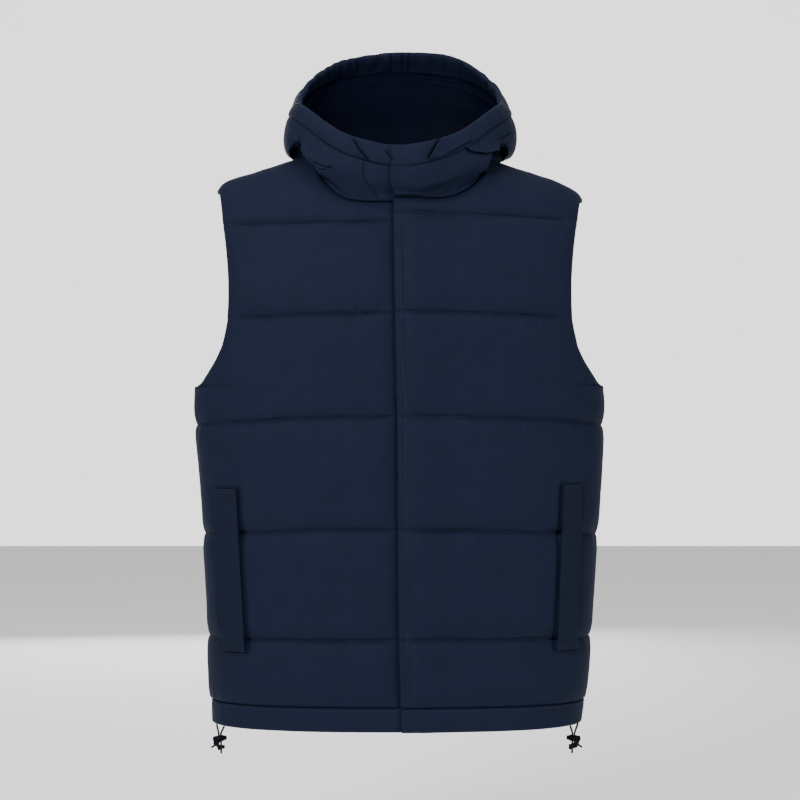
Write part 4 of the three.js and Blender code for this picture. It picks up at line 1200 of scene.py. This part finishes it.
def hood_panel(name, first, last, seed):
    columns = (last - first) * HOOD_STEPS
    gap = 0.002            # left open between two pieces, as counted round the neck
    first_count = first + (gap if first else 0)
    last_count = last - (gap if last < LAST_COUNT else 0)
    counts = np.linspace(first_count, last_count, columns + 1)
    fine = np.array([0.02, 0.05, 0.1])
    counts = np.unique(np.concatenate([counts, counts[0] + fine, counts[-1] - fine]))
    hood = Hood(counts)
    ups = np.concatenate([[0, 0.006, 0.014], np.linspace(0.022, 0.985, 140), [0.99, 0.995, 0.999]])
    points = hood.surface(ups * SEAM_UP)
    normals = grid_normals(points, -1)
    up_length = run_lengths(points, 0)
    across = run_lengths(points, 1)
    start, end = across, across[:, -1:] - across
    from_start = start - (UNDERLAP if first == 0 else 0)
    from_end = end - (EDGE_STRIP if last == LAST_COUNT else 0)
    to_edge = np.maximum(0, np.minimum(from_start, from_end))
    rim_distance = up_length[-1:] - up_length
    full = fullness(to_edge, 22) * fullness(np.minimum(up_length, rim_distance), 30)
    raised = hood_lift(counts)[None, :] - LAP_SINK * smooth(ups / 0.3)[:, None] * (counts < 2.5)[None, :]
    settle = smooth(ups / 0.13)[:, None]
    relief = (SEWN - HOOD_WALL) * (1 - full) * settle + raised * settle
    in_front = smooth((-points[..., 1] - 5) / 20)
    folds, slide = hood_folds(points, in_front * smooth(ups / 0.1)[:, None] * smooth(rim_distance / 3))
    relief = relief + folds
    relief = relief + puckers(seed, across, rim_distance, 1.5, 13)
    relief = relief + puckers(seed + 5, across, up_length, 1.0, 11)
    relief = relief + 0.9 * full * soft_noise(seed + 7, across, 40, up_length)
    border = np.minimum(np.minimum(start, end), np.minimum(up_length, rim_distance))
    relief = relief - edge_drop(border)
    moved = hood_hollows(points, ups[:, None], rim_distance)
    outer = points + normals * relief[..., None] + moved + slide
    low = (hood.inner - hood.outer)[None]
    high = normals * (raised - HOOD_WALL + np.minimum(0, folds + 2.0))[..., None]
    inner = points + mix(low, high, settle[..., None]) + moved
    piece = wall_mesh(f"{name}_panel", outer, inner, [SHELL, LINING], step=6, outward=-1)
    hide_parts(name)
    return piece


# The hood's lining, three pieces sewn together along the same seams.
def hood_lining():
    counts = np.linspace(3, LAST_COUNT - 3, (LAST_COUNT - 6) * 9 + 1)
    hood = Hood(counts)
    ups = np.concatenate([np.linspace(0.02, 0.7, 34), np.linspace(0.71, 1.012, 44)])
    points = hood.surface(ups * SEAM_UP)
    normals = grid_normals(points, -1)
    across, up_length = run_lengths(points, 1), run_lengths(points, 0)
    gap = mix(LINING_GAP_LOW, LINING_GAP, smooth(ups / 0.42))
    depth = HOOD_WALL + gap[:, None] - hood_lift(counts)[None, :]
    top = up_length[-1:] - up_length
    drawn_up = np.exp(-(top / 15) ** 2)
    behind = smooth(points[..., 1] / 40)
    loose = 5.4 * behind * smooth((top - 5) / 9) * (1 - smooth((top - 34) / 50))
    slant = across + 4 * soft_noise(908, across, 30)
    pleats = 2.6 * behind * drawn_up * np.abs(soft_noise(907, slant, 7.5))
    waves = 0.8 * soft_noise(901, across, 31, up_length) + puckers(903, across, top, 1.6, 22)
    seam = np.zeros(points.shape[:2])
    for x in LINING_SEAMS:
        seam += np.exp(-((points[..., 0] - x) / 1.1) ** 2) * behind
    in_front = smooth((-points[..., 1] - 5) / 20)
    folds, _ = hood_folds(points, in_front * smooth(ups / 0.1)[:, None])
    pushed = np.maximum(0, -2.0 - folds)
    back = hood_hollows(points, ups[:, None], top)
    depth = depth + pushed + loose
    outer = points - normals * depth[..., None] + back
    inside = LINING_WALL + np.maximum(0, waves + 0.9 + pleats) * 0.9 - 1.4 * seam
    inner = points - normals * (depth + np.maximum(LINING_WALL * 0.7, inside))[..., None] + back
    piece = wall_mesh("hood_lining_cloth", inner[:, ::-1], outer[:, ::-1], [LINING], outward=-1)
    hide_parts("hood_lining")
    return piece


# Outline of the casing round the hood's rim: share of its height, and depth in the wall.
CASING = {
    "up": [0.013, 0.1, 0.3, 0.52, 0.72, 0.86, 0.95, 0.985, 0.985, 0.95, 0.86, 0.72, 0.52, 0.3, 0.1, 0.013],
    "depth": [3, 1.3, 0.35, 0, 0.15, 0.8, 2, 3.7, 5.6, 7.2, 8.4, 9, 9, 8.6, 7.6, 7],
}
# How strongly the cord gathers it at each of these places.
RIM_GATHER = [0, 0.7, 1, 1, 1, 1, 1, 1, 1, 1.2, 1.5, 1.9, 2.1, 1.8, 0.8, 0]
RIM_ROWS = 26
RIM_STEPS = 24

# Pleats drawn into the casing's inner face at the back: distance from the middle and depth.
RIM_PLEATS = [
    (-31, 1.6), (-12.5, 2.8), (3, 2.2),
    (12, 2.6), (42, 1.8), (61, 2.4),
    (84, 2.0), (-58, 1.8), (-82, 2.4),
]


def rim_pleats(points):
    total = np.zeros(points.shape[:2])
    for x, depth in RIM_PLEATS:
        away = points[..., 0] - x
        total += depth * (np.exp(-(away / 1.5) ** 2) - 0.35 * np.exp(-((away - 4) / 2.6) ** 2))
    return total * smooth(points[..., 1] / 40)


def hood_rim():
    counts = np.linspace(0, LAST_COUNT, LAST_COUNT * RIM_STEPS + 1)
    hood = Hood(counts)
    place = np.concatenate([np.linspace(0, 7, RIM_ROWS), np.linspace(8, 15, RIM_ROWS // 2)])
    ups = mix(SEAM_UP - 0.0034, 1.0, np.interp(place, np.arange(16), CASING["up"]))
    points = hood.surface(ups)
    rising = hood.surface(ups + 0.004) - hood.surface(ups - 0.004)
    normals = -unit(np.cross(np.gradient(points, axis=1), rising))
    around = run_lengths(points[:1], 1)
    from_end = np.minimum(counts, LAST_COUNT - counts)
    full = smooth(from_end / 3)[None, :]
    depth = np.interp(place, np.arange(16), CASING["depth"])[:, None]
    flat = HOOD_WALL - SEWN + depth / RIM_WALL * (SEWN - 0.4)
    outside = (place < 7.5).astype(float)[:, None]
    crowd = 0.4 + 0.8 * np.abs(soft_noise(955, around, 70))
    slant = around + 3.0 * np.sin(math.tau * place / 16)[:, None]
    gather = crowd * (0.9 * soft_noise(951, slant, 6.5) + 0.9 * soft_noise(952, slant, 13))
    weight = np.interp(place, np.arange(16), RIM_GATHER)[:, None]
    gather = gather * weight * full * (2 * outside - 1)
    in_front = smooth((-points[..., 1] - 5) / 20) * outside
    folds, slide = hood_folds(points, in_front)
    pleats = rim_pleats(points) * (1 - outside)
    offset = hood_lift(counts)[None, :] - mix(flat, depth, full) + gather + pleats + folds
    rings = points + normals * offset[..., None] + slide
    count, columns = rings.shape[:2]
    faces = []
    for i in range(count):
        k = (i + 1) % count
        for j in range(columns - 1):
            faces.append([i * columns + j, k * columns + j, k * columns + j + 1, i * columns + j + 1])
    faces.append([i * columns for i in range(count)][::-1])
    faces.append([i * columns + columns - 1 for i in range(count)])
    up_uv = run_lengths(rings, 0)
    uv = np.stack([np.broadcast_to(around, up_uv.shape), up_uv], axis=-1).reshape(-1, 2)
    piece = add_mesh("hood_rim_casing", rings.reshape(-1, 3), faces, uv, [SHELL])
    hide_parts("hood_rim")
    return piece


# Hand pockets

# Points on the front panel's full outside, which a welt lies on.
def welt_surface(side, x, z):
    return body_point(side, -1, share_of_x(side, x, z), z, math.pi / 2)


def welt(side):
    w = WELTS[SIDES[side]]
    length = w["top"] - w["bottom"]
    rows = graded(length, 2.6, (0.4, 1.0, 2.0, 3.2, 4.6)) / length
    columns = np.array([0, 0.03, 0.09, 0.18, 0.3, 0.42, 0.54, 0.66, 0.78, 0.88, 0.95, 0.985, 1.0])
    down, across = rows[:, None], columns[None, :]
    z = np.broadcast_to(mix(float(w["top"]), w["bottom"], down), (len(rows), len(columns)))
    free = soft_noise(41 + side, length * down, 34) * (1.3 if side > 0 else 0.6) * np.sin(np.pi * down)
    outer_x = mix(w["out_top"], w["out_bottom"], down) + free
    x = mix(mix(w["in_top"], w["in_bottom"], down), outer_x, across)
    points = welt_surface(side, x, z)
    normals = grid_normals(points, -side)
    gape = 0.9 * across ** 2 * np.sin(np.pi * down) ** 0.5
    if side < 0:
        gape = gape + 2.6 * across ** 2 * np.exp(-((z + 476) / 24) ** 2)
    width = np.abs(outer_x - mix(w["in_top"], w["in_bottom"], down))
    from_end = length * np.minimum(down, 1 - down)
    border = np.minimum(width * np.minimum(across, 1 - across), from_end)
    relief = 0.5 + gape + WELT_WALL - edge_drop(border, 1.1)
    for row in (1.4, 4.6):
        relief = relief - 0.75 * np.exp(-((from_end - row) / 0.7) ** 2)
    relief = relief + 0.3 * soft_noise(45 + side, length * down, 21, width * across)
    outer = points + normals * relief[..., None]
    inner = points + normals * (0.5 + gape)[..., None]
    name = f"welt_{SIDES[side]}"
    piece = wall_mesh(f"{name}_cloth", outer, inner, [TRIM], step=3, outward=-side)
    for distance in (1.4, 4.6):
        for place in (distance / length, 1 - distance / length):
            row = int(np.argmin(np.abs(rows - place)))
            stitch_row(stitches, outer[row, 1:-1], normals[row, 1:-1], pitch=2.8, length=2.1)
    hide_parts(name)
    return piece


# Cord ends, knots and locks

# The middle of the hem's lower edge at a distance from the vest's middle.
def hem_edge_point(side, x):
    crest = abs(x)
    for _ in range(8):
        share = share_of_x(side, crest, HEM_Z)
        around = [body_point(side, -1, share + d, float(HEM_Z), math.pi / 2) for d in (-0.001, 0.001)]
        above = body_point(side, -1, share, HEM_Z + 0.3, math.pi / 2)
        here = body_point(side, -1, share, float(HEM_Z), math.pi / 2)
        normal = unit(np.cross(around[1] - around[0], above - here)) * side
        point = here + normal * (HEM_WALL / 2 - BODY_WALL)
        crest += abs(x) - abs(point[0])
    return point


def lock_centre(side):
    d = DRAWCORDS[SIDES[side]]
    y = (hem_edge_point(side, d["outer"])[1] + hem_edge_point(side, d["inner"])[1]) / 2
    return np.array([d["lock_x"], y, d["lock_z"]])


# A smooth curve through a few points, evenly cut.
def smooth_path(points, count):
    points = np.asarray(points, float)
    ends = [2 * points[0] - points[1], *points, 2 * points[-1] - points[-2]]
    line = []
    for i in range(len(points) - 1):
        a, b, c, d = ends[i:i + 4]
        for t in np.linspace(0, 1, 12, endpoint=False):
            line.append(0.5 * (2 * b + (c - a) * t + (2 * a - 5 * b + 4 * c - d) * t ** 2
                               + (3 * b - a - 3 * c + d) * t ** 3))
    line = np.array([*line, points[-1]])
    lengths = run_lengths(line, 0)
    places = np.linspace(0, lengths[-1], count)
    return np.stack([np.interp(places, lengths, line[:, i]) for i in range(3)], axis=-1)


def strand_path(side, which):
    out = side if which == "outer" else -side
    start = hem_edge_point(side, DRAWCORDS[SIDES[side]][which]) - np.array([0, 0, 1.3])
    centre = lock_centre(side)
    end = np.array([side * 9.6, -2.5, -10.5]) if which == "outer" else np.array([-side * 1.6, 1, -18])
    inside = [centre + np.array([out * STRAND_SPACING / 2, 0, dz]) for dz in (6.5, 3, -3, -5)]
    return smooth_path([start, *inside, centre + end], 26)


# An overhand knot drawn tight: one turn round the strand and a tuck through it.
def knot_points(path, place, radius=3.1):
    lengths = run_lengths(path, 0)
    at = np.array([np.interp(place * lengths[-1], lengths, path[:, i]) for i in range(3)])
    near = np.array([np.interp((place - 0.05) * lengths[-1], lengths, path[:, i]) for i in range(3)])
    down = unit(at - near)
    one = unit(np.cross(down, [0.3, 1, 0.2]))
    other = np.cross(down, one)
    turns = np.linspace(-0.12, 1.72, 44)
    rise = np.cos(turns * math.tau * 1.5) * 1.5 + (turns - 0.8) * 1.1
    wide = radius * (1 + 0.12 * np.cos(turns * math.tau * 3))
    angle = turns * math.tau
    return (at + one * (wide * np.cos(angle))[:, None] + other * (wide * np.sin(angle))[:, None]
            + down * rise[:, None])


# The lock is a barrel with a push button in one end, pressed lightly out by its spring.
BARREL = {
    "along": [-8.75, -8.7, -8.2, -7.2, -5.2, -4.9, -4.5, -4.2, 0,
              4.6, 4.9, 5.3, 5.6, 5.6, 6.4, 8.0, 8.6, 8.75],
    "radius": [0.01, 1.6, 2.8, 3.5, 3.75, 3.55, 3.55, 3.75, 3.8,
               3.75, 3.6, 3.2, 2.9, 2.75, 2.75, 2.6, 1.7, 0.01],
}


def cord_lock(side):
    d = DRAWCORDS[SIDES[side]]
    sides = 36
    angle = np.linspace(0, math.tau, sides, endpoint=False)
    points, uv = [], []
    for along, radius in zip(BARREL["along"], BARREL["radius"]):
        for a in angle:
            points.append((-side * along, radius * math.cos(a), radius * math.sin(a)))
            uv.append((radius * a, along))
    faces = []
    count = len(BARREL["along"])
    for i in range(count - 1):
        for j in range(sides):
            k = (j + 1) % sides
            faces.append([i * sides + j, i * sides + k, (i + 1) * sides + k, (i + 1) * sides + j][::side])
    faces.append(list(range(sides))[::-side])
    faces.append([(count - 1) * sides + j for j in range(sides)][::side])
    tilt = side * d["tilt"]
    points = np.array(points)
    turned = np.stack([points[:, 0] * math.cos(tilt) + points[:, 2] * math.sin(tilt), points[:, 1],
                       -points[:, 0] * math.sin(tilt) + points[:, 2] * math.cos(tilt)], axis=-1)
    name = f"cord_lock_{SIDES[side]}"
    placed = turned + lock_centre(side)
    piece = add_mesh(f"{name}_barrel", placed, faces, np.array(uv), [LOCK], smooth_angle=40)
    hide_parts(name)
    return piece


KNOT_PLACE = 0.8           # how far along a strand its knot is tied
KNOT_THICKNESS = 1.25      # the cord bulges where it is knotted


# One side's lock with its two strands and their knots.
def drawcord(side):
    lock = cord_lock(side)
    for which in ("outer", "inner"):
        path = strand_path(side, which)
        name = f"{SIDES[side]}_{which}"
        strand = add_mesh(f"cord_{name}_strand", *tube_points(path, CORD_RADIUS, 14), [CORD])
        tied = tube_points(knot_points(path, KNOT_PLACE), KNOT_THICKNESS * CORD_RADIUS, 12)
        knot = add_mesh(f"knot_{name}_tied", *tied, [CORD])
        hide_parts(f"cord_{name}")
        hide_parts(f"knot_{name}")


def floor():
    size = 6000
    points = [(-size, -size, -900), (size, -size, -900), (size, size, -900), (-size, size, -900)]
    mesh = bpy.data.meshes.new("floor")
    mesh.from_pydata((np.array(points) * MM).tolist(), [], [[0, 1, 2, 3]])
    mesh.materials.append(FLOOR)
    plane = bpy.data.objects.new("floor", mesh)
    bpy.context.scene.collection.objects.link(plane)


place_camera()
place_lights()
drawcord(-1)
drawcord(1)
front_panel(-1)
front_panel(1)
back_panel()
hem_bands()
hood_panel("hood_side_right", 0, HOOD_SEAMS[0], 800)
hood_panel("hood_centre", *HOOD_SEAMS, 820)
hood_panel("hood_side_left", HOOD_SEAMS[1], LAST_COUNT, 840)
hood_lining()
hood_rim()
welt(-1)
welt(1)
thread = stitches.mesh("sewn_stitches", THREAD)
floor()
